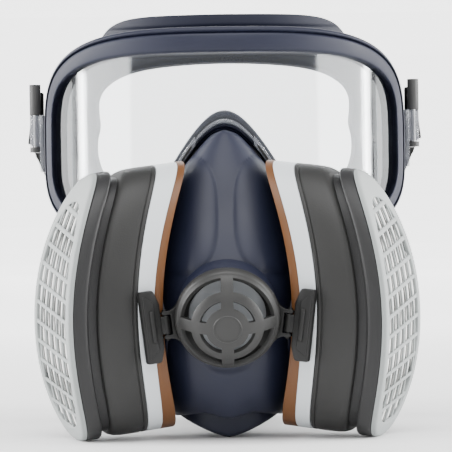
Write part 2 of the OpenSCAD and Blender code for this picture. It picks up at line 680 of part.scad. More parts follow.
// Curve of the loop at its back, which the cradle follows
cradle_r = pow(head_side[0], 2) / (head_back[1] - head_side[1]);
cradle_half = 30;
keeper_at = [12, 24];
module cradle_wall(gap, t, w, z_pad) intersection() {
    difference() {
        translate([0, head_back[1] - cradle_r, head_back[2] - strap_w / 2 - z_pad])
            cylinder(r = cradle_r + gap + t, h = strap_w + 2 * z_pad, $fn = 180);
        translate([0, head_back[1] - cradle_r, 0]) cylinder(r = cradle_r + gap, h = far, $fn = 180);
    }
    translate([-w, head_back[1] - 30, 0]) cube([2 * w, 60, far]);
}

module head_cradle() color(dark_grey) difference() {
    union() {
        cradle_wall(strap_t / 2 + 1.1, 2, cradle_half, 5);
        for (side = [-1, 1]) for (z = [-1, 1])
            translate([side * (keeper_at[0] + keeper_at[1]) / 2, head_back[1] - 1.3, head_back[2] + z * (strap_w / 2 + 3.1)])
                cube([keeper_at[1] - keeper_at[0] - 8, 12, 3.4], center = true);
        for (side = [-1, 1])
            translate([side * (keeper_at[0] + keeper_at[1]) / 2, head_back[1] - 6.6, head_back[2]])
                cube([keeper_at[1] - keeper_at[0] - 8, 1.8, strap_w + 9.6], center = true);
    }
    translate([0, head_back[1] - cradle_r, 0]) difference() {
        cylinder(r = far, h = far);
        translate([0, 0, -1]) cylinder(r = cradle_r + strap_t / 2 + 3.1, h = far + 2, $fn = 180);
    }
}

neck_z = 36;
neck_bar = [mask_half_w + 20.5, 34];
neck_back = [0, 124, neck_w / 2 + 2];
neck_side = [neck_bar[0] + loop_r, 62, 30];
clip_half = 17;
neck_path = concat(
    strap_fold(neck_bar, loop_r, 13, neck_z),
    [[neck_side[0], 42, 35.4], [neck_side[0], 52, 33.2]],
    [for (t = [0:6:66]) [neck_side[0] * cos(t), neck_side[1] + (neck_back[1] - neck_side[1]) * sin(t),
                        neck_back[2] + (neck_side[2] - neck_back[2]) * cos(t) * cos(t)]],
    [[clip_half + 3.5, neck_back[1] - 1.6, neck_back[2] + 0.3], [clip_half - 4, neck_back[1] - 0.6, neck_back[2]]]);
module neck_strap() color([0.04, 0.04, 0.05]) ribbon(neck_path, neck_w, strap_t);

module neck_anchor() color(dark_grey) difference() {
    union() {
        translate([neck_bar[0] - 15, 19.5, neck_z - neck_w / 2 - 3]) cube([16.5, 2.6, neck_w + 6]);
        for (z = [neck_z - neck_w / 2 - 3, neck_z + neck_w / 2 + 0.6])
            translate([neck_bar[0] - bar_r, 19.5, z]) cube([2 * bar_r, neck_bar[1] - 19.5, 2.4]);
        translate([neck_bar[0], neck_bar[1], neck_z - neck_w / 2 - 3]) cylinder(r = bar_r, h = neck_w + 6, $fn = 48);
    }
    mask_outside(fit_gap / 2);
}

// Neck clip: the hook half slides into the loop half along X
clip_y = neck_back[1];
clip_z = neck_back[2];
module clip_block(x1, x2, outer) difference() {
    translate([x1, clip_y - 3.4, clip_z - neck_w / 2 - 1.5]) cube([x2 - x1, 6.8, neck_w + 3]);
    translate([outer < 0 ? x1 - 1 : x2 - 5, clip_y - 6, clip_z - neck_w / 2 - fit_gap])
        cube([6, 6 - 0.6 + strap_t / 2 + fit_gap, neck_w + 2 * fit_gap]);
}
module neck_clip_loop() color(dark_grey) difference() {
    clip_block(-clip_half, 4, -1);
    translate([-8, clip_y - 1.4, clip_z - 6.4]) cube([30, 2.8, 12.8]);
}
module neck_clip_hook() color(dark_grey) {
    clip_block(4.4, clip_half, 1);
    translate([-6, clip_y - 1, clip_z - 5.8]) cube([11, 2, 11.6]);
}

// ---------------------------------------------------------------- nodes

goggle_frame();
goggle_face_flange();
visor_lens();
nose_gasket();
mask_body();
mask_face_seal();
chin_rest();
exhale_seat();
exhale_flap();
valve_cover();
head_cradle();
neck_clip_hook();
neck_clip_loop();
for (end = ["_left", "_right"]) both_sides(end) {
    port_sleeve();
    inhale_flap();
    latch();
    latch_pin();
    gas_canister();
    colour_band();
    info_label();
    carbon_bed();
    dust_felt();
    joint_ring();
    particle_case();
    pleat_pack();
    grid_cover();
    ear_bracket();
    ear_pin();
    strap_buckle();
    head_strap();
    neck_anchor();
    neck_strap();
}
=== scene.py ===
# %% [markdown]
# # A full-face respirator
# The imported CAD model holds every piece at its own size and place. This file keeps that frame and
# gives each visible piece the soft edges, folds and finishes of the real one. All measures in the
# pieces below are in millimetres, and turn to metres when a mesh is made.

# %% Loading the frame
import json
import math
import bmesh
import bpy
import numpy as np
from mathutils import Matrix, Vector

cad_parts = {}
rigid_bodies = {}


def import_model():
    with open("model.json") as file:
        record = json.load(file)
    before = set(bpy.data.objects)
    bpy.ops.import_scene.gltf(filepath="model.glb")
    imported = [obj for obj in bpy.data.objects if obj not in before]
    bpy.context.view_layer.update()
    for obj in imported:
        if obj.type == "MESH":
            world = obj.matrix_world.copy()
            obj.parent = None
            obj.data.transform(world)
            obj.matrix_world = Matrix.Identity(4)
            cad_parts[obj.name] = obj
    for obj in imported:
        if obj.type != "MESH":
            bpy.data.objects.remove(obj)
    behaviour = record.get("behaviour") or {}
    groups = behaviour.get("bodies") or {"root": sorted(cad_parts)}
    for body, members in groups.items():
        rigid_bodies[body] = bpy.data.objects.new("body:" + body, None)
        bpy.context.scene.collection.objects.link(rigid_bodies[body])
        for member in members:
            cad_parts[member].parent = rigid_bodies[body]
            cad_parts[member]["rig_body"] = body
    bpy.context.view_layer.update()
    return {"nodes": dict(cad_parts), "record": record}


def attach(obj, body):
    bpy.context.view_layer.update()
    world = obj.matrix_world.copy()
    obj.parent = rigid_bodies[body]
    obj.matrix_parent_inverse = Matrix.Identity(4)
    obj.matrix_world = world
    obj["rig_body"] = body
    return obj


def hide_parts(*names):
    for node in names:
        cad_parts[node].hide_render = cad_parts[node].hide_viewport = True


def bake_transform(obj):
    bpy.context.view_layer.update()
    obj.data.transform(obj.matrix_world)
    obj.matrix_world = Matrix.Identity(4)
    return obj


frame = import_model()
SIDES = ("right", "left")

# %% [markdown]
# ## Camera and light
# The mask stands on its chin and filters, and is seen from straight in front with a long lens, so
# the two sides look alike. The camera is rolled by just under one degree, so that the mask leans a
# little in its picture.

# %% Camera
camera_data = bpy.data.cameras.new("camera")
camera_data.lens, camera_data.sensor_width = 225.1, 36
camera_data.clip_end = 20
camera = bpy.data.objects.new("camera", camera_data)
bpy.context.scene.collection.objects.link(camera)
camera.location = (0, -1.3, 0.095)
camera.rotation_euler = (math.radians(90), math.radians(0.9), 0)
bpy.context.scene.camera = camera
print("lens:", camera_data.lens, "mm")


# %% [markdown]
# Lamps could be points, but a curved visor shows them as hard dots. Soft boxes are used instead. A
# wide box and a bright strip stand on each side, with a dimmer box further back. They draw the pale
# streaks on the visor's curved sides and light the filters' covers.

# %% Lights
def soft_box(name, place, width, height, watts):
    lamp = bpy.data.lights.new(name, "AREA")
    lamp.shape, lamp.size, lamp.size_y, lamp.energy = "RECTANGLE", width, height, watts
    holder = bpy.data.objects.new(name, lamp)
    bpy.context.scene.collection.objects.link(holder)
    holder.location = place
    holder.rotation_euler = (Vector((0, 0, 0.1)) - Vector(place)).to_track_quat("-Z", "Y").to_euler()


soft_box("top_box", (0, -0.5, 1.2), 1.0, 0.8, 16)
soft_box("front_box", (0, -1.7, 0.9), 0.9, 0.5, 7)
for side, way in (("right", 1), ("left", -1)):
    soft_box(f"{side}_box", (way * 1.0, -0.30, 0.30), 0.7, 0.9, 15)
    soft_box(f"{side}_strip", (way * 0.95, -0.03, 0.30), 0.07, 0.9, 8)
    soft_box(f"{side}_back_box", (way * 0.95, 0.32, 0.30), 0.5, 0.9, 7)
world = bpy.data.worlds.new("pale_room")
bpy.context.scene.world = world
world.use_nodes = True
world.node_tree.nodes["Background"].inputs["Color"].default_value = (1, 1, 1, 1)
world.node_tree.nodes["Background"].inputs["Strength"].default_value = 0.55
print("lights:", len(bpy.data.lights))

# %% [markdown]
# ## Finishes
# Every finish starts from one shader. A fine grain drives the bump, and a slow cloud shifts the
# colour and the gloss a little, because moulded rubber and plastic are never one even tone.

# %% Small node helpers
def link(tree, out_node, out_name, in_node, in_name):
    tree.links.new(out_node.outputs[out_name], in_node.inputs[in_name])


def noise_at(tree, coordinates, scale, detail=2.0):
    noise = tree.nodes.new("ShaderNodeTexNoise")
    noise.inputs["Scale"].default_value = scale
    noise.inputs["Detail"].default_value = detail
    link(tree, coordinates, "Object", noise, "Vector")
    return noise


def span(tree, source, socket, low, high, first=0.3, last=0.7):
    """Carries a value from first to last over to the range low to high."""
    node = tree.nodes.new("ShaderNodeMapRange")
    for name, value in (("From Min", first), ("From Max", last), ("To Min", low), ("To Max", high)):
        node.inputs[name].default_value = value
    link(tree, source, socket, node, "Value")
    return node


# %% [markdown]
# Rubber and hard plastic differ mostly in colour, gloss and grain, so one function makes them all.
# Separate materials built by hand would say the same thing a dozen times.

# %% The moulded finish
def moulded(name, colour, gloss, grain=900, depth=0.1, cloud=0.10, shine=0.35, see=1.0):
    """Moulded rubber or plastic: gloss is its roughness, grain the fineness of its texture."""
    material = bpy.data.materials.new(name)
    material.use_nodes = True
    tree = material.node_tree
    shader = tree.nodes["Principled BSDF"]
    shader.inputs["Specular IOR Level"].default_value = shine
    shader.inputs["Alpha"].default_value = see
    where = tree.nodes.new("ShaderNodeTexCoord")
    slow = noise_at(tree, where, 38)
    tone = tree.nodes.new("ShaderNodeMix")
    tone.data_type = "RGBA"
    tone.inputs[6].default_value = (*[c * (1 - cloud) for c in colour], 1)
    tone.inputs[7].default_value = (*[min(1, c * (1 + cloud)) for c in colour], 1)
    tree.links.new(slow.outputs["Fac"], tone.inputs[0])
    tree.links.new(tone.outputs[2], shader.inputs["Base Color"])
    link(tree, span(tree, slow, "Fac", gloss - 0.05, gloss + 0.05), "Result", shader, "Roughness")
    bump = tree.nodes.new("ShaderNodeBump")
    bump.inputs["Strength"].default_value = depth
    bump.inputs["Distance"].default_value = 0.0004
    link(tree, noise_at(tree, where, grain), "Fac", bump, "Height")
    link(tree, bump, "Normal", shader, "Normal")
    return material


# %% [markdown]
# The straps are elastic webbing: ribs run along them and fine cross threads cut the ribs. The
# pattern follows the strap's own UV map, so it bends where the strap bends.

# %% The woven finish
def woven(name, colour, ribs, threads):
    material = moulded(name, colour, 0.75, depth=0.05)
    tree = material.node_tree
    shader = tree.nodes["Principled BSDF"]
    shader.inputs["Specular IOR Level"].default_value = 0.12
    where = tree.nodes.new("ShaderNodeUVMap")
    both = tree.nodes.new("ShaderNodeMath")
    both.operation = "MULTIPLY"
    for slot, (direction, count) in enumerate((("X", ribs), ("Y", threads))):
        wave = tree.nodes.new("ShaderNodeTexWave")
        wave.bands_direction = direction
        wave.inputs["Scale"].default_value = count / 20 * 6.2832
        link(tree, where, "UV", wave, "Vector")
        tree.links.new(wave.outputs["Fac"], both.inputs[slot])
    bump = tree.nodes.new("ShaderNodeBump")
    bump.inputs["Strength"].default_value = 0.8
    bump.inputs["Distance"].default_value = 0.0005
    tree.links.new(both.outputs[0], bump.inputs["Height"])
    link(tree, bump, "Normal", shader, "Normal")
    return material


# %% [markdown]
# The visor is clear polycarbonate. Seen square on it lets nearly everything through, and it mirrors
# the room more the flatter it is looked along. A mirror mixed with a see-through shader gives that,
# and a slow cloud in the gloss keeps the mirror from looking perfect.

# %% The clear finish
def clear(name, tint, least, most, gloss):
    """Clear plastic that mirrors least where it faces the eye and most along its edges."""
    material = moulded(name, (0.93, 0.95, 0.96), gloss, grain=120, depth=0.02, cloud=0.02)
    tree = material.node_tree
    mirror = tree.nodes["Principled BSDF"]
    mirror.inputs["Metallic"].default_value = 1.0
    through = tree.nodes.new("ShaderNodeBsdfTransparent")
    through.inputs["Color"].default_value = (*tint, 1)
    edge = tree.nodes.new("ShaderNodeLayerWeight")
    edge.inputs["Blend"].default_value = 0.5
    steep = tree.nodes.new("ShaderNodeMath")
    steep.operation = "POWER"
    steep.inputs[1].default_value = 2.6
    link(tree, edge, "Facing", steep, 0)
    mix = tree.nodes.new("ShaderNodeMixShader")
    link(tree, span(tree, steep, 0, least, most, 0, 1), "Result", mix, "Fac")
    tree.links.new(through.outputs[0], mix.inputs[1])
    tree.links.new(mirror.outputs[0], mix.inputs[2])
    tree.links.new(mix.outputs[0], tree.nodes["Material Output"].inputs["Surface"])
    return material


# %% [markdown]
# Most finishes of the mask are now one line. The colours are dark because the lights are strong, and
# the grain is finer on the hard cases than on the rubber.

# %% All the finishes of this mask
navy_rubber = moulded("navy_rubber", (0.0085, 0.0105, 0.025), 0.50, grain=1400, depth=0.06)
seal_rubber = moulded("seal_rubber", (0.0075, 0.0095, 0.023), 0.5, grain=1200, depth=0.08)
grey_case = moulded("grey_case", (0.016, 0.016, 0.0155), 0.48, grain=1800, depth=0.2)
dark_case = moulded("dark_case", (0.014, 0.014, 0.0145), 0.46, grain=1800, depth=0.2)
latch_black = moulded("latch_black", (0.006, 0.006, 0.0058), 0.45, grain=1800, depth=0.15)
valve_grey = moulded("valve_grey", (0.024, 0.024, 0.0235), 0.42, grain=1800, depth=0.15)
cover_grey = moulded("cover_grey", (0.27, 0.288, 0.285), 0.5, grain=1600, depth=0.12, cloud=0.03)
band_brown = moulded("band_brown", (0.115, 0.044, 0.012), 0.42, grain=700, depth=0.03, cloud=0.05)
label_white = moulded("label_white", (0.60, 0.63, 0.65), 0.4, grain=700, depth=0.02, cloud=0.02)
black_carbon = moulded("black_carbon", (0.012, 0.012, 0.012), 0.6, grain=900, depth=1.0)
grey_felt = moulded("grey_felt", (0.75, 0.75, 0.73), 0.9, grain=2600, depth=0.6)
silicone = moulded("silicone", (0.27, 0.285, 0.30), 0.3, grain=900, depth=0.03)
buckle_grey = moulded("buckle_grey", (0.04, 0.04, 0.0395), 0.45, grain=1800, depth=0.15)
clear_clip = moulded("clear_clip", (0.22, 0.23, 0.26), 0.12, grain=300, depth=0.1, shine=0.9, see=0.42)
visor_clear = clear("visor_clear", (0.97, 0.98, 0.985), 0.07, 0.75, 0.07)
webbing = woven("webbing", (0.004, 0.004, 0.0044), 40, 420)
steel = moulded("steel", (0.55, 0.55, 0.56), 0.3, grain=500, depth=0.05)
steel.node_tree.nodes["Principled BSDF"].inputs["Metallic"].default_value = 1.0
print("materials:", len(bpy.data.materials))

# %% [markdown]
# The particle paper is white along its folds, and the gaps between the folds look black. That black is
# painted shade: the paper's colour falls to black with its own depth attribute.

# %% Pleated paper
pleat_paper = moulded("pleat_paper", (0.88, 0.88, 0.86), 0.85, grain=2600, depth=0.4, cloud=0.03)
tree = pleat_paper.node_tree
level = tree.nodes.new("ShaderNodeAttribute")
level.attribute_name = "depth"
shade = tree.nodes.new("ShaderNodeMix")
shade.data_type = "RGBA"
link(tree, level, "Fac", shade, 0)
# Painted shade: the black that the paper takes in the gaps between its folds.
shade.inputs[6].default_value = (0.006, 0.006, 0.006, 1)
white = tree.nodes["Principled BSDF"].inputs["Base Color"].links[0].from_socket
tree.links.new(white, shade.inputs[7])
tree.links.new(shade.outputs[2], tree.nodes["Principled BSDF"].inputs["Base Color"])

# %% [markdown]
# Every CAD node gets its finish too, from the material slot in its record. Most nodes are replaced
# by a modelled piece later, but the carbon, the felts and the pins stay as they are. The latch
# pins are as dark as the latches.

# %% Finishes for the CAD nodes
SLOTS = {
    "face_rubber": navy_rubber, "seal_rubber": seal_rubber, "visor": visor_clear,
    "clear_plastic": clear_clip,
    "grey_plastic": grey_case, "black_plastic": latch_black, "light_grey_plastic": cover_grey,
    "brown_band": band_brown, "label": label_white, "carbon": black_carbon, "felt": grey_felt,
    "filter_paper": pleat_paper, "silicone": silicone, "webbing": webbing, "steel": steel}
for part in frame["record"]["subparts"]:
    node = frame["nodes"][part["node"]]
    node.data.materials.clear()
    node.data.materials.append(latch_black if "latch_pin" in part["node"] else SLOTS[part["material_slot"]])
print(len(SLOTS), "finishes")

# %% [markdown]
# ## Making a curved sheet or ring
# Most pieces here are sheets or rings that follow a curve. A grid primitive is the start: each of
# its corners, at u across and v along, is carried to its place on the real surface. Where the grid
# closes on itself its edges are merged, and its normals are turned outwards.

# %% Carrying a grid
def choose(piece):
    bpy.ops.object.select_all(action="DESELECT")
    piece.select_set(True)
    bpy.context.view_layer.objects.active = piece


def tidy(piece, cap=False):
    """Merges doubled corners, closes open ends if asked, and turns the faces outwards."""
    choose(piece)
    bpy.ops.object.mode_set(mode="EDIT")
    bpy.ops.mesh.select_all(action="SELECT")
    bpy.ops.mesh.remove_doubles(threshold=0.00002)
    if cap:
        bpy.ops.mesh.select_all(action="DESELECT")
        bpy.ops.mesh.select_mode(type="EDGE")
        bpy.ops.mesh.select_non_manifold(extend=False, use_wire=False, use_multi_face=False,
                                         use_non_contiguous=False, use_verts=False)
        bpy.ops.mesh.edge_face_add()
    bpy.ops.mesh.select_all(action="SELECT")
    bpy.ops.mesh.normals_make_consistent(inside=False)
    bpy.ops.object.mode_set(mode="OBJECT")


def carried_grid(name, across, along, place, cap=False):
    """A grid whose corners lie at place(u, v), with u and v from 0 to 1."""
    bpy.ops.object.select_all(action="DESELECT")
    bpy.ops.mesh.primitive_grid_add(x_subdivisions=across, y_subdivisions=along, size=1)
    piece = bpy.context.object
    piece.name = piece.data.name = name
    corners = np.zeros(len(piece.data.vertices) * 3)
    piece.data.vertices.foreach_get("co", corners)
    corners = corners.reshape(-1, 3)
    points = np.stack(place(corners[:, 0] + 0.5, corners[:, 1] + 0.5), 1) * 0.001
    piece.data.vertices.foreach_set("co", points.ravel())
    tidy(piece, cap)
    return piece


# %% [markdown]
# A finished piece has the same last steps each time: modifiers are applied, faces are smoothed, and
# the piece gets its finish and the body that it rides on. A piece of one side is modelled once. Its
# mirror image is a copy with its own mesh, whose faces are turned outwards again.

# %% Modifiers, copies and settling
def modify(piece, kind, **settings):
    choose(piece)
    modifier = piece.modifiers.new(kind.lower(), kind)
    for key, value in settings.items():
        setattr(modifier, key, value)
    bpy.ops.object.modifier_apply(modifier=modifier.name)
    return piece


def join(name, pieces):
    choose(pieces[0])
    for piece in pieces:
        piece.select_set(True)
    bpy.ops.object.join()
    pieces[0].name = pieces[0].data.name = name
    return pieces[0]


def settle(piece, body, finish, nodes=(), angle=40):
    """Smooths a finished piece, gives it its finish and lets it ride on its body."""
    choose(piece)
    bpy.ops.object.shade_smooth_by_angle(angle=math.radians(angle))
    piece.data.materials.clear()
    piece.data.materials.append(finish)
    if body:
        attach(piece, body)
    if nodes:
        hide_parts(*nodes)
    print(f"{piece.name}: {len(piece.data.polygons)} faces")
    return piece


def settle_pair(piece, body, finish, nodes=(), angle=40):
    """Settles a right-hand piece and its mirror image. A body that ends in _ takes the side's name."""
    stem = piece.name
    twin = bpy.data.objects.new(f"{stem}_left", piece.data.copy())
    bpy.context.scene.collection.objects.link(twin)
    twin.data.transform(Matrix.Diagonal((-1, 1, 1, 1)))
    twin.data.flip_normals()
    for side, one in (("right", piece), ("left", twin)):
        one.name = one.data.name = f"{stem}_{side}"
        settle(one, body + side if body.endswith("_") else body, finish,
            [f"{n}_{side}" for n in nodes], angle)


# %% [markdown]
# A ring is a closed profile carried along a line. The profile is a short list of corners, and a
# smooth pass through them rounds it, as moulded rubber is.

# %% Lines and profiles
def power(value, p):
    return np.sign(value) * np.abs(value) ** p


def evenly(line, count, measure=None):
    """count + 1 points spread evenly along a fine line, by the length of its first columns."""
    line = np.asarray(line, float)
    measured = line if measure is None else line[:, :measure]
    length = np.r_[0, np.cumsum(np.linalg.norm(np.diff(measured, axis=0), axis=1))]
    at = np.linspace(0, length[-1], count + 1)
    return np.stack([np.interp(at, length, line[:, k]) for k in range(line.shape[1])], 1)


def rounded(corners, steps=4, closed=True):
    """A smooth line through corners, by Catmull and Rom's rule."""
    p = np.asarray(corners, float)
    n = len(p)
    out = []
    for i in range(n if closed else n - 1):
        near = [(i + k) % n if closed else min(max(i + k, 0), n - 1) for k in (-1, 0, 1, 2)]
        a, b, c, d = (p[k] for k in near)
        for t in np.arange(steps) / steps:
            out.append(0.5 * (2 * b + (c - a) * t + (2 * a - 5 * b + 4 * c - d) * t**2
                              + (3 * b - a - 3 * c + d) * t**3))
    out.append(p[0] if closed else p[-1])
    return np.array(out)


def pick(table, share):
    """The row of a table at each share from 0 to 1."""
    return table[np.rint(share * (len(table) - 1)).astype(int)]


def length_of(vectors):
    return np.linalg.norm(vectors, axis=1, keepdims=True)


# %% [markdown]
# ## The backdrop
# A pale floor curves up behind the mask, as a studio's paper roll does. It glows softly
# towards the back, so that the mask stands against a pale ground with no strong light from behind.

# %% Backdrop
def backdrop_place(u, v):
    s = v * 13000
    turned = np.clip((s - 9000) / 1256.6, 0, 1) * np.pi / 2
    y = -5000 + np.minimum(s, 9000) + 800 * np.sin(turned)
    z = 800 * (1 - np.cos(turned)) + np.maximum(s - 10256.6, 0)
    return (u - 0.5) * 14000, y, z


backdrop = carried_grid("backdrop", 8, 130, backdrop_place)
paper = moulded("pale_paper", (0.9, 0.9, 0.9), 0.7, grain=60, depth=0.0, cloud=0.0)
backdrop.data.materials.append(paper)
tree = paper.node_tree
apart = tree.nodes.new("ShaderNodeSeparateXYZ")
link(tree, tree.nodes["Texture Coordinate"], "Object", apart, "Vector")
glow = span(tree, apart, "Y", 0.0, 2.4, 0.15, 1.3)
link(tree, glow, "Result", tree.nodes["Principled BSDF"], "Emission Strength")
tree.nodes["Principled BSDF"].inputs["Emission Color"].default_value = (1, 1, 1, 1)
print("backdrop:", len(backdrop.data.polygons), "faces")

# %% [markdown]
# ## The filters' place
# Each filter has its own frame at its port: X along its axis, Z up it and Y to its back. The pieces
# of the wearer's right side are made there, and the left side gets their mirror images.

# %% The valve's and the ports' places
PORT = np.array((37.5, -27.0, 48.92))
valve_spot = Matrix.Translation((0, -0.062, 0.0555)) @ Matrix.Rotation(math.radians(110), 4, "X")
port_spot = (Matrix.Translation(Vector(PORT) * 0.001) @ Matrix.Rotation(math.radians(-17), 4, "Z")
             @ Matrix.Rotation(math.radians(7), 4, "Y"))
port_axes = np.array(port_spot.to_3x3())


def from_port(x, y, z):
    p = np.stack([x, y, z], 1) @ port_axes.T + PORT
    return p[:, 0], p[:, 1], p[:, 2]


def behind_filters(x, y, z, room=1.0):
    """Points that would lie inside a filter move to its back."""
    p = (np.stack([np.abs(x), y, z], 1) - PORT) @ port_axes
    high = np.clip(np.abs((p[:, 2] - 14) / (59 + room)), 0, 1)
    reach = (33 + room) * (1 - high**2.5) ** 0.4
    inside = (high < 1) & (np.abs(p[:, 1]) < reach) & (p[:, 0] > -12)
    p[inside, 1] = reach[inside]
    p = p @ port_axes.T + PORT
    return np.sign(x) * p[:, 0], p[:, 1], p[:, 2]


# %% [markdown]
# ## Goggles
# The visor and its frame are bent round one upright cylinder, and the flange behind them round the
# curve of the forehead. Their outlines are squared ovals in the front view, squarer at the brow. All
# of them are open below, where the nose arch cuts through them.

# %% The goggles' outlines
HALF_W, TOP, MID, LOW = 85.5, 186.5, 130.0, 86.0
LENS_Y, FACE_Y = 94.0, 102.0
ARCH_TOP, ARCH_ROUND = 148.0, 18.0
turn = np.linspace(-np.pi / 2, 3 * np.pi / 2, 40001)


def oval(half_w, top, low, square_top, square_low):
    up = np.sin(turn) >= 0
    share = 2 / np.where(up, square_top, square_low)
    height = np.where(up, top - MID, MID - low)
    return np.stack([half_w * power(np.cos(turn), share), MID + height * power(np.sin(turn), share)], 1)


def bent(x, radius, axis_y):
    return axis_y - np.sqrt(radius**2 - np.minimum(np.abs(x), radius - 0.5) ** 2)


def arch_half(drop):
    return np.sqrt(0.25 * drop**2 + ARCH_ROUND * drop)


def arch_height(x):
    return ARCH_TOP - 2 * (np.sqrt(ARCH_ROUND**2 + x**2) - ARCH_ROUND)


def beside_arch(line):
    return (line[:, 1] > MID) | (np.abs(line[:, 0]) > arch_half(np.maximum(ARCH_TOP - line[:, 1], 0)) + 0.6)


frame_line = oval(HALF_W, TOP, LOW, 4, 3.4)
lens_line = oval(HALF_W - 4.3, TOP - 12, LOW + 6, 4.6, 3.4)
print("goggles:", 2 * HALF_W, "wide,", TOP - LOW, "tall")

# %% [markdown]
# The frame is soft rubber moulded round the visor's edge: a raised inner bead, a broad band, a
# crease, and a rolled outer edge that turns back along the temples to the flange. Its profile lists
# how far out each corner lies, the curve it follows, and how far back towards the flange it sits.

# %% Goggle frame
frame_profile = rounded([
    (0.0, 99.8, 0), (0.01, 101.4, 0), (0.06, 102.6, 0), (0.15, 103.0, 0), (0.42, 103.2, 0),
    (0.66, 103.0, 0),
    (0.73, 102.3, 0), (0.765, 101.2, 0), (0.80, 102.2, 0), (0.87, 102.9, 0), (0.94, 102.4, 0),
    (0.99, 101.0, 0),
    (1.0, 99.0, 0.02), (1.0, 99, 0.2), (1.0, 99, 0.45), (1.0, 99, 0.7), (1.0, 99, 0.92), (0.97, 99, 1.0),
    (0.7, 99, 1.0), (0.3, 99, 1.0), (0.0, 99, 0.97), (0.0, 99, 0.5), (0.0, 97.5, 0.05)], 3)
frame_rows = np.hstack([lens_line, frame_line])[beside_arch(frame_line)]
frame_rows = evenly(frame_rows, 320)


def frame_place(u, v):
    row, cut = pick(frame_rows, u), pick(frame_profile, v)
    x = row[:, 0] + (row[:, 2] - row[:, 0]) * cut[:, 0]
    z = row[:, 1] + (row[:, 3] - row[:, 1]) * cut[:, 0]
    front, back = bent(x, cut[:, 1], LENS_Y), bent(x, 88.8, FACE_Y)
    return behind_filters(x, front + (back - front) * cut[:, 2], z)


soft_frame = carried_grid("soft_frame", 320, len(frame_profile) - 1, frame_place, cap=True)
settle(soft_frame, "mask", navy_rubber, ["goggle_frame"], 50)

# %% [markdown]
# The flange is the soft sheet behind the frame that meets the forehead and the temples. Above the
# brow it shows over the frame as a low flap. Its opening for the eyes waves in and out a little at
# the sides, and its edge rolls forward.

# %% Face flange
eye_line = rounded([
    (0, 104), (22, 104.5), (40, 107), (52, 113), (58.5, 120), (61.5, 128), (61.8, 136), (60.4, 143),
    (61.0, 150),
    (60.5, 156), (57, 161.5), (49, 166.3), (38, 169), (20, 170.6), (0, 171.2), (-20, 170.6), (-38, 169),
    (-49, 166.3),
    (-57, 161.5), (-60.5, 156), (-61.0, 150), (-60.4, 143), (-61.8, 136), (-61.5, 128), (-58.5, 120),
    (-52, 113), (-40, 107), (-22, 104.5)], 30)
flap_line = oval(61.0, 193.5, 100, 7, 3)
angles = np.linspace(-math.pi / 2, 3 * math.pi / 2, 4001)


def radius_at(line):
    """A line's distance from the goggles' middle at each angle."""
    angle = np.unwrap(np.arctan2(line[:, 1] - MID, line[:, 0]))
    order = np.argsort(angle)
    return np.interp(angles, angle[order], np.hypot(line[:, 0], line[:, 1] - MID)[order],
        period=2 * math.pi)


outer = np.logaddexp(1.5 * radius_at(oval(HALF_W - 0.8, TOP - 0.6, LOW + 0.6, 4, 3.4)),
    1.5 * radius_at(flap_line)) / 1.5
rays = np.stack([np.cos(angles), np.sin(angles)], 1)
inner_line = rays * radius_at(eye_line)[:, None] + (0, MID)
outer_line = rays * outer[:, None] + (0, MID)
flange_rows = np.hstack([inner_line, outer_line])[beside_arch(outer_line)]
flange_rows = evenly(flange_rows, 320)


def flange_place(u, v):
    row = pick(flange_rows, u)
    x = row[:, 0] + (row[:, 2] - row[:, 0]) * v
    z = row[:, 1] + (row[:, 3] - row[:, 1]) * v
    leg = arch_half(np.maximum(ARCH_TOP - z, 0)) + 0.5
    x = np.where(z < MID, np.sign(x) * np.maximum(np.abs(x), leg), x)
    roll = 1.6 * np.exp(-(v / 0.07) ** 2) - 0.7 * np.exp(-((z - 187.5) / 0.9) ** 2)
    return x, bent(x, 88.5, FACE_Y) - roll, z


flange = carried_grid("face_flange", 320, 44, flange_place)
modify(flange, "SOLIDIFY", thickness=0.0025, offset=-1)
settle(flange, "mask", seal_rubber, ["goggle_face_flange"], 50)

# %% [markdown]
# The visor is a sheet between its top edge and whichever is higher: its bottom edge, the nose arch
# or the back of a filter. It is bent round one cylinder, so it needs no double curve.

# %% Visor
def oval_edge(x, half_w, top, square):
    share = 1 - np.minimum(np.abs(x) / half_w, 1) ** square
    return MID + (top - MID) * share ** (1 / square)


def filter_top(x):
    """The height at which the visor comes clear of the filters, for each x."""
    heights = np.linspace(84, 130, 185)
    table = []
    for one in np.linspace(0, 84, 169):
        xs = np.full_like(heights, one)
        ys = bent(xs, 99, LENS_Y)
        moved = np.abs(behind_filters(xs, ys, heights, 1.4)[1] - ys) > 0.01
        table.append(heights[moved].max() if moved.any() else 84)
    return np.interp(np.abs(x), np.linspace(0, 84, 169), table)


def visor_place(u, v):
    x = 82.8 * np.sin(np.pi / 2 * (2 * u - 1))
    top = oval_edge(x, 83.2, TOP - 10.4, 4.6)
    low = np.maximum(np.maximum(oval_edge(x, 83.2, LOW + 4.4, 3.4), arch_height(x) - 5.9), filter_top(x))
    return x, bent(x, 100.0, LENS_Y), low + (top - low) * v


visor = carried_grid("clear_visor", 220, 60, visor_place)
modify(visor, "SOLIDIFY", thickness=0.002, offset=-1)
settle(visor, "mask", visor_clear, ["visor_lens"], 30)

# %% [markdown]
# ## Nose arch
# A rubber gasket lies behind the visor along its nose arch, and the half mask clips into it. From
# outside in there is a broad band, the visor's own thick clear rim, a groove, and a narrow bead
# against the mask. Each is one profile swept along the arch.

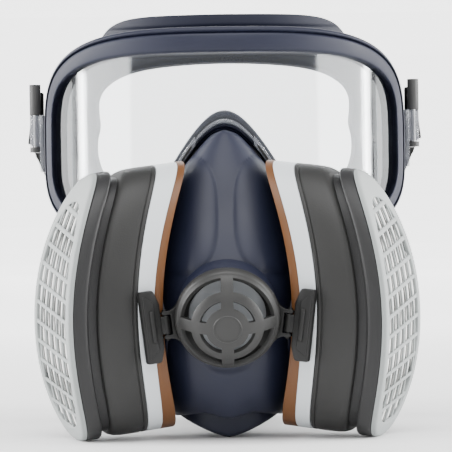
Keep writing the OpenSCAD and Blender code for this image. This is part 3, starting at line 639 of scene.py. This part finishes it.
# %% Sweeping along the arch
def arch_sweep(name, profile, low, high, count, both_legs=True):
    """Sweeps (inset, radius) corners along the arch, from drop low to drop high down each leg."""
    drops = np.linspace(math.sqrt(low), math.sqrt(high), 4001) ** 2
    right = np.stack([arch_half(drops), ARCH_TOP - drops], 1)
    line = np.vstack([right[::-1] * (-1, 1), right]) if both_legs else right
    rows = evenly(line, count)
    profile = np.asarray(profile, float)

    def place(u, v):
        row, cut = pick(rows, u), pick(profile, v)
        return row[:, 0], bent(row[:, 0], cut[:, 1], LENS_Y), row[:, 1] - cut[:, 0]

    return carried_grid(name, count, len(profile) - 1, place, cap=True)


# %% [markdown]
# With the sweep in place, each strip of the arch is only a profile. The clips are short stretches
# of the same sweep on one leg, mirrored to the other.

# %% Gasket, rim and clips
gasket = arch_sweep("arch_gasket", rounded([
    (0.2, 89.5), (0.2, 93), (0.25, 96.8), (0.8, 97.6), (2.0, 97.8), (3.2, 97.6), (3.7, 96.8), (4.2, 96.4),
    (5.2, 96.6),
    (6.0, 97.0), (6.4, 98.6), (7.0, 98.9), (7.5, 98.2), (7.9, 96.8), (8.4, 97.4), (8.8, 96.8), (8.9, 94),
    (8.9, 89.5)], 3),
    0, 58, 220)
settle(gasket, "mask", navy_rubber, ["nose_gasket"], 50)
rim = arch_sweep("visor_arch_rim", rounded([(3.9, 98), (3.9, 101), (4.2, 101.9), (4.9, 102.1), (5.6, 101.9),
    (5.9, 101), (5.9, 98)], 2), 0, 30, 160)
settle(rim, "mask", clear_clip)
clip = arch_sweep("arch_clip", rounded([(2.9, 99), (2.9, 102.2), (3.3, 103), (7.0, 103), (7.4, 102.2),
    (7.4, 98.5)], 2), 9, 20, 14, False)
settle_pair(clip, "mask", clear_clip, angle=30)
slot = arch_sweep("arch_clip_slot", rounded([(4.6, 102), (4.6, 103.1), (4.9, 103.3), (6.1, 103.3),
    (6.4, 103.1), (6.4, 102)], 2), 11, 17.5, 8, False)
settle_pair(slot, "mask", latch_black)

# %% [markdown]
# ## Half mask
# The mask body is a thick rubber shell. Its sections from chin to nose are rounded in front and
# flare out to the cheeks at the back. A table gives each section, and a smooth curve through the
# table gives every height between, up to a closed ridge at the nose. The two lobes beside the nose
# are pushed out of the surface.

# %% Half mask body
mask_table = np.array([
    [11.8, 24.4, -38.0, 29, 21.4], [12.1, 26.0, -40.2, 31.5, 22], [14, 27.6, -43.2, 35, 22.8],
    [20, 30.6, -49.0, 41, 24.4],
    [30, 33.5, -54.3, 46.5, 27], [42, 35.5, -58.4, 49, 28.5], [55, 36, -60, 49.5, 29],
    [68, 35.5, -58.4, 48, 28.5],
    [78, 33.8, -54.6, 43, 27], [88, 31.3, -49.2, 38.8, 24.5], [100, 28, -41.9, 32.3, 21],
    [110, 24.4, -35.7, 26.8, 18.5],
    [120, 19.8, -29.5, 20.4, 16.5], [130, 12.8, -23.3, 13, 15], [136, 7.2, -19.1, 7.2, 14.5],
    [138.1, 3.4, -16.6, 3.4, 14.1], [138.9, 0.05, -13, 0.05, 14]])
mask_rows = evenly(rounded(mask_table, 8, closed=False), 150, measure=3)


def mask_place(u, v):
    z, a, f, b, back = pick(mask_rows, v).T
    side, q = np.sign(u - 0.5), np.abs(2 * u - 1)
    t = np.pi / 2 * np.minimum(q / 0.72, 1)
    s = np.maximum(q - 0.72, 0) / 0.28
    x = a * np.sin(t) ** (2 / 2.4) + (b - a) * s**1.6
    y = f * power(np.cos(t), 2 / 2.4) * (q < 0.72) + back * s
    inside = 1 - np.abs((x - 24) / 20.4) ** 3 - np.abs((z - 101) / 27) ** 3
    push = 3.0 * np.clip(inside, 0, 1) ** 0.5 * (s == 0)
    x, y = x + push * 0.35 * np.minimum(x / 6, 1), y - push * 0.9
    low = np.clip((26 - z) / 14, 0, 1) ** 2 * (y < -8)
    chin = np.exp(-((x / 7.5) ** 2))
    y = y - 2.2 * chin * low
    z = z - low * (2.6 * chin + 2.4 * np.clip((x - 11) / 13, 0, 1))
    return side * x, y, z


mask_shell = carried_grid("mask_shell", 240, 150, mask_place)
print("mask shell:", len(mask_shell.data.vertices), "corners")

# %% [markdown]
# The front of the shell is flat where the exhalation valve sits, and open behind the valve and
# behind each filter port. Corners in front of the valve's plane are pressed back to it, less and
# less away from the valve, so that the surface runs out smoothly. The faces in the three openings
# are chosen by their place and deleted.

# %% Openings
def cut_opening(piece, spot, axis, radius, low, high):
    """Deletes the faces whose middles lie within radius of an axis of spot, from low to high along it."""
    choose(piece)
    bpy.ops.object.mode_set(mode="EDIT")
    bpy.ops.mesh.select_mode(type="FACE")
    bpy.ops.mesh.select_all(action="DESELECT")
    mesh = bmesh.from_edit_mesh(piece.data)
    for face in mesh.faces:
        p = spot.inverted() @ face.calc_center_median() * 1000
        across = math.hypot(*(p[k] for k in range(3) if k != axis))
        face.select_set(across < radius and low < p[axis] < high)
    bmesh.update_edit_mesh(piece.data)
    bpy.ops.mesh.delete(type="FACE")
    bpy.ops.object.mode_set(mode="OBJECT")


VALVE_FLAT, VALVE_OPENING, PORT_OPENING = 23.4, 18.4, 17.6
for vertex in mask_shell.data.vertices:
    p = valve_spot.inverted() @ vertex.co
    beyond = max(math.hypot(p.x, p.y) * 1000 - VALVE_FLAT, 0)
    highest = -0.0001 + 0.00009 * beyond**2
    if p.z > highest:
        p.z = highest
        vertex.co = valve_spot @ p
cut_opening(mask_shell, valve_spot, 2, VALVE_OPENING, -12, 4)
for mirror in (1, -1):
    cut_opening(mask_shell, Matrix.Diagonal((mirror, 1, 1, 1)) @ port_spot, 0, PORT_OPENING, -24, 8)
modify(mask_shell, "SOLIDIFY", thickness=0.0025, offset=-1)
settle(mask_shell, "mask", navy_rubber, ["mask_body"], 50)

# %% [markdown]
# Bosses, sleeves, flaps and rims are turned shapes. A profile of radius and height is spun round an
# axis with the same grid helper, and set at the valve or at a port.

# %% Turned pieces
def turned(name, profile, spot, count=96, steps=1):
    """Spins (radius, height) corners round spot's Z axis."""
    line = np.asarray(profile, float) if steps == 1 else rounded(profile, steps, closed=False)

    def place(u, v):
        r, h = pick(line, v).T
        return r * np.cos(2 * np.pi * u), r * np.sin(2 * np.pi * u), h

    piece = carried_grid(name, count, len(line) - 1, place)
    piece.data.transform(spot)
    tidy(piece)
    return piece


port_turn = port_spot @ Matrix.Rotation(math.radians(90), 4, "Y")
boss = turned("port_boss", [(17.7, -18), (20.4, -18), (20.5, -5), (20.3, -4.2), (19.7, -3.7), (18.4, -3.6),
    (17.7, -4), (17.7, -18)], port_turn)
settle_pair(boss, "mask", navy_rubber)
boss = turned("valve_boss", [(18.6, -13), (21.8, -13), (21.8, -1.2), (21.5, -0.4), (20.9, -0.1),
    (18.9, -0.1), (18.6, -0.4), (18.6, -13)], valve_spot)
settle(boss, "mask", navy_rubber)

# %% [markdown]
# The seal is a soft lip that runs round the back edge of the mask body and turns in towards the
# face. Its profile is carried round the edge, narrower beside the nose.

# %% Face seal
half_loop = [(0, 22.1, 12.8), (16, 22.4, 13.6), (30, 23.2, 16), (41, 24.4, 20), (46.5, 27, 30),
    (49, 28.5, 42), (49.5, 29, 55),
             (48, 28.5, 68), (43, 27, 78), (38.8, 24.5, 88), (32.3, 21, 100), (26.8, 18.5, 110),
             (20.4, 16.5, 120), (13, 15, 130), (6.6, 14.5, 136), (0, 14.4, 137.9)]
seal_loop = evenly(rounded(half_loop + [(-x, y, z) for x, y, z in half_loop[-2:0:-1]], 8), 300)
run = np.roll(seal_loop[:-1], -1, 0) - np.roll(seal_loop[:-1], 1, 0)
run = np.vstack([run, run[:1]])
outward = np.stack([run[:, 2], 0 * run[:, 0], -run[:, 0]], 1)
seal_rows = np.hstack([seal_loop, outward / length_of(outward)])
seal_profile = rounded([(0, 0.3), (1.3, 2.6), (1.2, 5.2), (-0.6, 7.6), (-3.4, 8.7), (-6.5, 8.9), (-9, 8.8),
    (-9.3, 7.9), (-9, 7),
                        (-6.2, 7), (-3.4, 6.5), (-1.6, 4.9), (-1.2, 2.8), (-2.0, 0.3)], 3)


def seal_place(u, v):
    row, cut = pick(seal_rows, u), pick(seal_profile, v)
    x, y, z = row[:, 0], row[:, 1], row[:, 2]
    narrow = 1 - np.clip((z - 92) / 16, 0, 1) * (0.7 - np.minimum(np.abs(x) / 30, 0.7))
    move = cut[:, 0] * np.where(cut[:, 0] < 0, narrow, 1)
    slope = 0.3 * np.clip((36 - z) / 8, 0, 1)
    up = move * row[:, 5]
    return x + move * row[:, 3], y + cut[:, 1] + slope * up, z + up


seal = carried_grid("face_seal", 300, len(seal_profile) - 1, seal_place)
settle(seal, "mask", seal_rubber, ["mask_face_seal"], 60)

# %% [markdown]
# Under the body hangs the chin cup. Its lower edge runs down to one rounded point in the middle, on
# which the mask stands.

# %% Chin cup
def chin_place(u, v):
    a = 2 * np.pi * u
    size = np.interp(v, [0, 0.1, 0.35, 0.85, 0.93, 1], [0, 0.7, 1, 0.97, 0.92, 0])
    x = 25.6 * power(np.cos(a), 0.9) * size
    y = -6.5 + 27.5 * power(np.sin(a), 0.9) * size
    edge = 0.2 + 11.3 * (np.abs(x) / 25.6) ** 1.35
    drop = np.interp(v, [0, 0.1, 0.35, 0.85, 0.93, 1], [0, 0, 0.12, 0.9, 1, 1])
    return x, y, 12.4 + (edge - 12.4) * drop


chin = carried_grid("chin_cup", 96, 40, chin_place)
settle(chin, "mask", seal_rubber, ["chin_rest"], 60)

# %% [markdown]
# ## Exhalation valve
# The cover is a shallow dome with four broad spokes, a ring between them and a hub. It starts as a
# round grid whose lines follow the spokes' edges. The faces in the openings are deleted, and the
# sheet that is left gets its thickness and its soft edges.

# %% Valve cover
SPOKE = 2.7
cover_heights = [(23.0, 0.3), (23.0, 2.6), (22.8, 3.9), (22.3, 4.9), (21.9, 5.2), (21.5, 5.5), (20.8, 6.6),
    (18.5, 8.9),
                 (16.0, 11.0), (14.2, 12.2), (12.4, 13.2), (11.0, 13.9), (9.6, 14.4), (8.6, 14.7),
                 (8.0, 14.9), (6.4, 15.3), (6.2, 15.6), (5.6, 15.6), (5.4, 15.3), (3.0, 15.8), (0.0, 16.0)]
cover_line = np.array([(23.0, 0.3)] + [(r, h + 0.3) for r, h in cover_heights[1:]])
CELLS = (3, 14, 3)


def cover_place(u, v):
    r, h = pick(cover_line, v).T
    step = np.rint(u * 4 * sum(CELLS))
    quarter, cell = np.divmod(step, sum(CELLS))
    edge = np.arcsin(SPOKE / np.maximum(r, 8.6))
    a = np.interp(cell, [0, 3, 17, 20], [0, 1, 2, 3])
    within = np.select([a <= 1, a <= 2], [a * edge, edge + (a - 1) * (np.pi / 2 - 2 * edge)],
        np.pi / 2 - (3 - a) * edge)
    angle = quarter * np.pi / 2 + within
    return r * np.cos(angle), r * np.sin(angle), h


cover = carried_grid("cover_dome", 4 * sum(CELLS), len(cover_line) - 1, cover_place)
choose(cover)
bpy.ops.object.mode_set(mode="EDIT")
bpy.ops.mesh.select_mode(type="FACE")
bpy.ops.mesh.select_all(action="DESELECT")
mesh = bmesh.from_edit_mesh(cover.data)
for face in mesh.faces:
    x, y, z = face.calc_center_median() * 1000
    r = math.hypot(x, y)
    face.select_set(min(abs(x), abs(y)) > SPOKE and (16.0 < r < 20.8 or 9.6 < r < 12.4))
bmesh.update_edit_mesh(cover.data)
bpy.ops.mesh.delete(type="FACE")
bpy.ops.object.mode_set(mode="OBJECT")
modify(cover, "SOLIDIFY", thickness=0.002, offset=-1)
modify(cover, "BEVEL", width=0.0003, segments=2, limit_method="ANGLE", angle_limit=math.radians(45))
cover.data.transform(valve_spot)
settle(cover, "exhale_cover", valve_grey, ["valve_cover"], 40)

# %% [markdown]
# Flat hard pieces are plates: an outline drawn in the plane of the latch's pin, given a thickness
# and a bevel. The arm is forked round the latch's knuckle, and the latch has a raised grip.

# %% Plates at the latch's pin
pin_spot = port_spot @ Matrix.Translation((-0.0006, -0.0352, 0.003))


def plate(name, outline, front, back, bevel, spot, segments=3):
    """An outline in X and Z with its faces at front and back along Y."""
    mesh = bpy.data.meshes.new(name)
    corners = [(x * 0.001, y * 0.001, z * 0.001) for y in (front, back) for x, z in outline]
    n = len(outline)
    walls = [(i, (i + 1) % n, n + (i + 1) % n, n + i) for i in range(n)]
    mesh.from_pydata(corners, [], [tuple(range(n)), tuple(range(2 * n - 1, n - 1, -1)), *walls])
    piece = bpy.data.objects.new(name, mesh)
    bpy.context.scene.collection.objects.link(piece)
    tidy(piece)
    modify(piece, "BEVEL", width=bevel * 0.001, segments=segments, limit_method="ANGLE",
        angle_limit=math.radians(30))
    piece.data.transform(spot)
    return piece


# %% [markdown]
# The arm is one plate, symmetrical about its middle, so half of its outline is listed. The latch is
# five simple shapes joined into one piece, as the real one is moulded in one.

# %% Arms and latches
arm_half = [(-9.5, 13.0), (-7.4, 10.6), (-6.0, 8.9), (-4.8, 7.6), (-3.5, 6.7), (-2.0, 6.1), (1.2, 6.1),
    (1.8, 5.6), (1.8, 4.9), (1.2, 4.45), (-2.3, 4.45)]
arm = plate("cover_arm", arm_half + [(x, -z) for x, z in reversed(arm_half)], -1.8, 1.0, 0.35, pin_spot)
settle_pair(arm, "exhale_cover", latch_black)
latch_half = [(2.3, 9.5), (4.4, 16.0), (11.1, 16.0)]
latch = [plate("latch_plate", latch_half + [(x, -z) for x, z in reversed(latch_half)], -2.6, 1.7, 1.1,
    pin_spot, 2),
         plate("latch_step", [(5.0, 10.5), (9.9, 14.2), (9.9, -14.2), (5.0, -10.5)], -3.2, -2.0, 0.5,
             pin_spot),
         plate("latch_grip", [(5.6, 7.2), (7.6, 7.2), (7.6, -7.2), (5.6, -7.2)], -4.2, -2.4, 0.7, pin_spot),
         plate("latch_root", [(-1.2, 3.95), (3.4, 3.95), (3.4, -3.95), (-1.2, -3.95)], -1.7, 1.5, 0.5,
             pin_spot),
         turned("latch_knuckle", [(0, -4), (1.6, -4), (1.9, -3.7), (1.9, 3.7), (1.6, 4), (0, 4)], pin_spot,
             40)]
latch = join("latch_grip", latch)
latch.name = "side_latch"
settle_pair(latch, "latch_", latch_black, ["latch"], 35)

# %% [markdown]
# The flaps are thin silicone discs behind the cover and inside the ports. They are turned shapes
# too, and the outward one has a stem that holds it in its seat.

# %% Flaps behind the cover and the ports
flap = turned("exhale_disc", [(0, -1.2), (3, -1.25), (10, -1.5), (16.4, -1.7), (17, -1.95), (16.6, -2.25),
    (2, -2.3), (1.3, -2.6), (1.3, -7.4), (0, -7.6)], valve_spot)
settle(flap, "exhale_flap", silicone, ["exhale_flap"])
flap = turned("inhale_disc", [(0, -14.15), (13.4, -14.15), (14, -14.4), (13.4, -14.75), (0, -14.75)],
    port_turn)
settle_pair(flap, "inhale_flap_", silicone, ["inhale_flap"])

# %% [markdown]
# ## Filters
# A filter is a squared oval in its side view, dished so that it wraps round the cheek. Each layer
# is a profile carried round that oval: a corner has a share of the way out from the middle, an
# inset from the edge, and a depth along the axis, which can follow the label's curved edges.

# %% The filter's outline
DISH = 128.0
around = np.linspace(0, 2 * np.pi, 20001)


def filter_line(half_y, half_z, middle, square=2.5):
    return np.stack([half_y * power(np.cos(around), 2 / square),
        middle + half_z * power(np.sin(around), 2 / square)], 1)


def dished(w, z):
    return w + np.sqrt(DISH**2 - (z + 6) ** 2) - DISH


edge_line = evenly(filter_line(33, 59, 14), 240)
run = np.roll(edge_line[:-1], -1, 0) - np.roll(edge_line[:-1], 1, 0)
run = np.vstack([run, run[:1]])
inward = np.stack([-run[:, 1], run[:, 0]], 1)
filter_rows = np.hstack([edge_line, inward / length_of(inward)])
band_edge = np.poly1d(np.polyfit([-45, -20, 0, 30, 73], [6.8, 5.2, 4.5, 4.0, 3.7], 3))
label_edge = np.poly1d(np.polyfit([-45, -20, 0, 30, 73], [13.4, 12.0, 11.4, 12.0, 13.6], 3))


def layer(name, profile, steps=1, closed=True):
    """Carries (share, inset, depth, follows the band, follows the label) corners round the filter's edge."""
    table = np.array([tuple(c) + (0,) * (5 - len(c)) for c in profile], float)
    if closed:
        table = rounded(table, steps) if steps > 1 else np.vstack([table, table[:1]])

    def place(u, v):
        row, (share, inset, w, band, label) = pick(filter_rows, u), pick(table, v).T
        y = (row[:, 0] + row[:, 2] * inset) * share
        z = 14 + (row[:, 1] + row[:, 3] * inset - 14) * share
        w = w + band * band_edge(z) + label * label_edge(z)
        return from_port(dished(w, z), y, z)

    return carried_grid(name, 240, len(table) - 1, place)


# %% [markdown]
# The canister carries the coloured band, the label and the casing like rings on a drum. The band
# and the label sit in shallow steps of the canister.

# %% Canister, bands and casing
canister = layer("canister", [
    (0, 0, 0), (0.4, 0, 0), (0.8, 0, 0), (1, 3, 0), (1, 1.2, 0.05), (1, 0.72, 0.5), (1, 0.72, 0, 0, 1),
    (1, 0.35, 0.2, 0, 1),
    (1, 0.05, 0.6, 0, 1), (1, 0, 1.4, 0, 1), (1, 0.1, 1.9, 0, 1), (1, 0.5, 2.1, 0, 1), (1, 0.5, 2.4, 0, 1),
    (1, 0.1, 2.7, 0, 1),
    (1, 0.0, 3.4, 0, 1), (1, 0.0, 21), (1, 0.1, 25), (1, 0.4, 27.4), (1, 1.0, 28.9), (1, 2.0, 29.7),
    (1, 3.2, 29.8), (1, 6, 29.8), (0.5, 0, 29.8), (0, 0, 29.8)], closed=False)
spigot = turned("spigot", [(0, -1), (13.4, -1), (13.4, -8.3), (13.7, -8.5), (14.6, -8.5), (15, -8.1),
    (15, 1.5), (0, 1.5)], port_turn)
canister = join("canister", [canister, spigot])
settle_pair(canister, "filter_", grey_case, ["gas_canister"], 35)
band = layer("brown_ring", [(1, 0.7, 0.2), (1, 0.2, 0.2), (1, 0.04, 0.4), (1, 0.04, -0.2, 1),
    (1, 0.16, -0.05, 1), (1, 0.7, -0.05, 1)])
settle_pair(band, "filter_", band_brown, ["colour_band"])
band = layer("white_ring", [(1, 0.7, 0.02, 1), (1, 0.16, 0.02, 1), (1, 0.02, 0.15, 1),
    (1, 0.02, -0.2, 0, 1), (1, 0.2, -0.05, 0, 1), (1, 0.7, -0.05, 0, 1)])
settle_pair(band, "filter_", label_white, ["info_label"])
casing = layer("groove_ring", [(1, 3.2, 28), (1, 3.2, 36), (1, 5.8, 36), (1, 5.8, 28)])
settle_pair(casing, "filter_", dark_case, ["joint_ring"])
casing = layer("particle_ring", [
    (1, 3.2, 33.8), (1, 1.8, 33.85), (1, 0.7, 34.3), (1, 0.1, 35.2), (1, 0.0, 36.2), (1, 0.0, 40.4),
    (1, 0.15, 40.8), (1, 0.5, 41), (1, 3.4, 41), (1, 3.4, 34)])
settle_pair(casing, "filter_", dark_case, ["particle_case"])

# %% [markdown]
# The cover over the particle filter is a light grey frame, wide at its top, with a grid of thin
# bars in it. The bars are modelled one by one: each follows the dish and ends inside the frame.

# %% Grid cover
cover_rows = evenly(np.hstack([filter_line(32.7, 58.7, 14), filter_line(27.4, 49.6, 11.6)]), 240, measure=2)
cover_profile = rounded([(0.02, 41.15), (0.0, 42.0), (0.03, 42.8), (0.14, 43.35), (0.4, 43.5), (0.86, 43.5),
    (0.97, 43.2), (1.0, 42.5), (0.98, 41.3), (0.5, 41.15)], 3)


def cover_frame_place(u, v):
    row, (share, w) = pick(cover_rows, u), pick(cover_profile, v).T
    y = row[:, 0] + (row[:, 2] - row[:, 0]) * share
    z = row[:, 1] + (row[:, 3] - row[:, 1]) * share
    return from_port(dished(w, z), y, z)


def grid_bar(name, offset, upright, width):
    """One bar of the grid, at offset from the middle line, across it or upright."""
    tilt = math.radians(9)
    along = np.linspace(-70, 70, 2801)
    a, b = (np.full_like(along, offset), along) if upright else (along, np.full_like(along, offset))
    y, z = a * math.cos(tilt) - b * math.sin(tilt), 14 + a * math.sin(tilt) + b * math.cos(tilt)
    inside = np.abs(y / 28.0) ** 2.5 + np.abs((z - 11.6) / 50.2) ** 2.5 < 1
    if inside.sum() < 60:
        return None
    rows = evenly(np.stack([y, z], 1)[inside], 22 if upright else 10)
    run = rows[-1] - rows[0]
    aside = np.array([-run[1], run[0]]) / np.linalg.norm(run)
    section = np.array([(-0.5, 42.4), (-0.5, 43.0), (-0.38, 43.2), (0.38, 43.2), (0.5, 43.0), (0.5, 42.4),
        (-0.5, 42.4)])

    def place(u, v):
        row, (share, w) = pick(rows, v), pick(section, u).T
        y, z = row[:, 0] + aside[0] * share * width, row[:, 1] + aside[1] * share * width
        return from_port(dished(w, z), y, z)

    return carried_grid(name, 6, len(rows) - 1, place, cap=True)


grid = [carried_grid("grid", 240, len(cover_profile) - 1, cover_frame_place)]
grid += [grid_bar("row", 8.6 * k, False, 1.7) for k in range(-7, 8)] + [grid_bar("column", 10 * k, True,
    1.3) for k in range(-2, 3)]
grid = join("grid_frame", [bar for bar in grid if bar])
settle_pair(grid, "filter_", cover_grey, ["grid_cover"], 35)

# %% [markdown]
# Behind the grid lies the particle paper, folded into upright pleats with deep gaps between them.
# The gaps are painted dark as shade. It is one sheet that goes up and down across the filter, cut to the
# oval of the opening.

# %% Pleats
fold = [(0.0, 37.0), (0.9, 37.1), (1.05, 40.4), (1.2, 41.3), (1.35, 41.75), (2.0, 41.8), (2.65, 41.75),
    (2.8, 41.3), (2.95, 40.4), (3.1, 37.1)]
pleats = np.array([(-26.4 + 5.0 * k + y, w) for k in range(11) for y, w in fold])
pleats = pleats[pleats[:, 0] < 26.4]


def pleat_place(u, v):
    y, w = pick(pleats, u).T
    reach = 49.4 * (1 - np.minimum(np.abs(y) / 27.2, 1) ** 2.5) ** 0.4
    z = 11.6 + reach * (2 * v - 1)
    return from_port(dished(w, z), y, z)


paper_pack = carried_grid("paper_pleats", len(pleats) - 1, 40, pleat_place)
# Painted shade: below this level the white paper is coloured black, so the gaps between the folds look
# shaded.
PAINTED_SHADE_BELOW = 41.3
depth = paper_pack.data.attributes.new("depth", "FLOAT", "POINT")
corners = np.array([v.co for v in paper_pack.data.vertices]) * 1000
local = (corners - PORT) @ port_axes
level = local[:, 0] - dished(0, local[:, 2])
depth.data.foreach_set("value", np.clip((level - PAINTED_SHADE_BELOW) / 0.4, 0, 1).astype(np.float32))
modify(paper_pack, "SOLIDIFY", thickness=0.0003, offset=1)
settle_pair(paper_pack, "filter_", pleat_paper, ["pleat_pack"], 60)

# %% [markdown]
# ## Plain hard parts
# The small brackets, buckles, sleeves and anchors already have their true shape in CAD. Each gets a
# copy whose loose triangles are merged into whole faces, and whose edges are then softened.

# %% Softened parts
def soften(node, name, width, finish, segments=2):
    piece = bpy.data.objects.new(name, frame["nodes"][node].data.copy())
    bpy.context.scene.collection.objects.link(piece)
    choose(piece)
    bpy.ops.object.mode_set(mode="EDIT")
    bpy.ops.mesh.select_all(action="SELECT")
    bpy.ops.mesh.remove_doubles(threshold=0.000005)
    bpy.ops.mesh.dissolve_limited(angle_limit=math.radians(0.8))
    bpy.ops.mesh.normals_make_consistent(inside=False)
    bpy.ops.object.mode_set(mode="OBJECT")
    modify(piece, "BEVEL", width=width * 0.001, segments=segments, limit_method="ANGLE",
        angle_limit=math.radians(35), use_clamp_overlap=True)
    settle(piece, frame["nodes"][node]["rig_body"], finish, [node], 35)


for side in SIDES:
    soften(f"ear_bracket_{side}", f"ear_plate_{side}", 0.35, clear_clip)
    soften(f"strap_buckle_{side}", f"buckle_{side}", 0.4, buckle_grey)
    soften(f"port_sleeve_{side}", f"sleeve_{side}", 0.2, valve_grey)
    soften(f"neck_anchor_{side}", f"anchor_{side}", 0.3, buckle_grey)
soften("exhale_seat", "valve_seat", 0.2, valve_grey)
soften("head_cradle", "cradle", 0.4, buckle_grey)
soften("neck_clip_hook", "clip_hook", 0.5, latch_black)
soften("neck_clip_loop", "clip_loop", 0.5, latch_black)

# %% [markdown]
# ## Harness
# The straps are flat elastic ribbons. Each is folded round its buckle's bar, stands on edge at the
# temple, and lies flat against the head at the back.

# %% Straps
def ribbon(name, path, width, thick):
    line = rounded(path, 5, closed=False)
    run = np.gradient(line, axis=0)
    run = run / length_of(run)
    up = np.array([0, 0, 1]) - run[:, 2:3] * run
    up = up / length_of(up)
    out = np.cross(run, up)
    w, t = width / 2, thick / 2
    section = np.array([(-w, -t * 0.5), (-w + 0.5, -t), (-w / 2, -t), (0, -t), (w / 2, -t), (w - 0.5, -t),
        (w, -t * 0.5),
                        (w, t * 0.5), (w - 0.5, t), (w / 2, t), (0, t), (-w / 2, t), (-w + 0.5, t),
                        (-w, t * 0.5), (-w, -t * 0.5)])

    def place(u, v):
        at = np.rint(v * (len(line) - 1)).astype(int)
        high, aside = pick(section, u).T
        p = line[at] + up[at] * high[:, None] + out[at] * aside[:, None]
        return p[:, 0], p[:, 1], p[:, 2]

    return carried_grid(name, len(section) - 1, len(line) - 1, place, cap=True)


def fold_round(bar, radius, tail, z, thick=1.4):
    """The strap's end: a short tail inside, the turn round the bar, then the outer leg."""
    path = [(bar[0] - radius + (radius - thick / 2 - 0.15) * k * k, bar[1] + tail * k,
        z - 0.6 * k * k) for k in (1, 0.75, 0.5, 0.25)]
    return path + [(bar[0] + radius * math.cos(a), bar[1] + radius * math.sin(a),
        z) for a in np.radians(np.arange(180, 361, 30))]


head_path = fold_round((90.5, 67), 2.55, 16, 148.3) + [(92.85, 75, 147.6), (92.45, 84, 145.4)]
head_path += [(92.05 * math.cos(t), 94 + 76 * math.sin(t),
    78 + 64 * math.cos(t) ** 3) for t in np.radians(np.arange(0, 85, 6))] + [(1.5, 170, 78)]
neck_path = fold_round((56.5, 34), 2.55, 13, 36) + [(59.05, 42, 35.4), (59.05, 52, 33.2)]
neck_path += [(59.05 * math.cos(t), 62 + 62 * math.sin(t),
    12 + 18 * math.cos(t) ** 2) for t in np.radians(np.arange(0, 67, 6))] + [(20.5, 122.4, 12.3),
    (13, 123.4, 12)]
strap = ribbon("neck_ribbon", neck_path, 20, 1.4)
settle_pair(strap, "mask", webbing, ["neck_strap"], 60)
for side, way in (("right", 1), ("left", -1)):
    strap = ribbon(f"head_ribbon_{side}", np.array(head_path) * (way, 1, 1), 25, 1.4)
    settle(strap, None, webbing, [f"head_strap_{side}"], 60)
    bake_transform(strap)
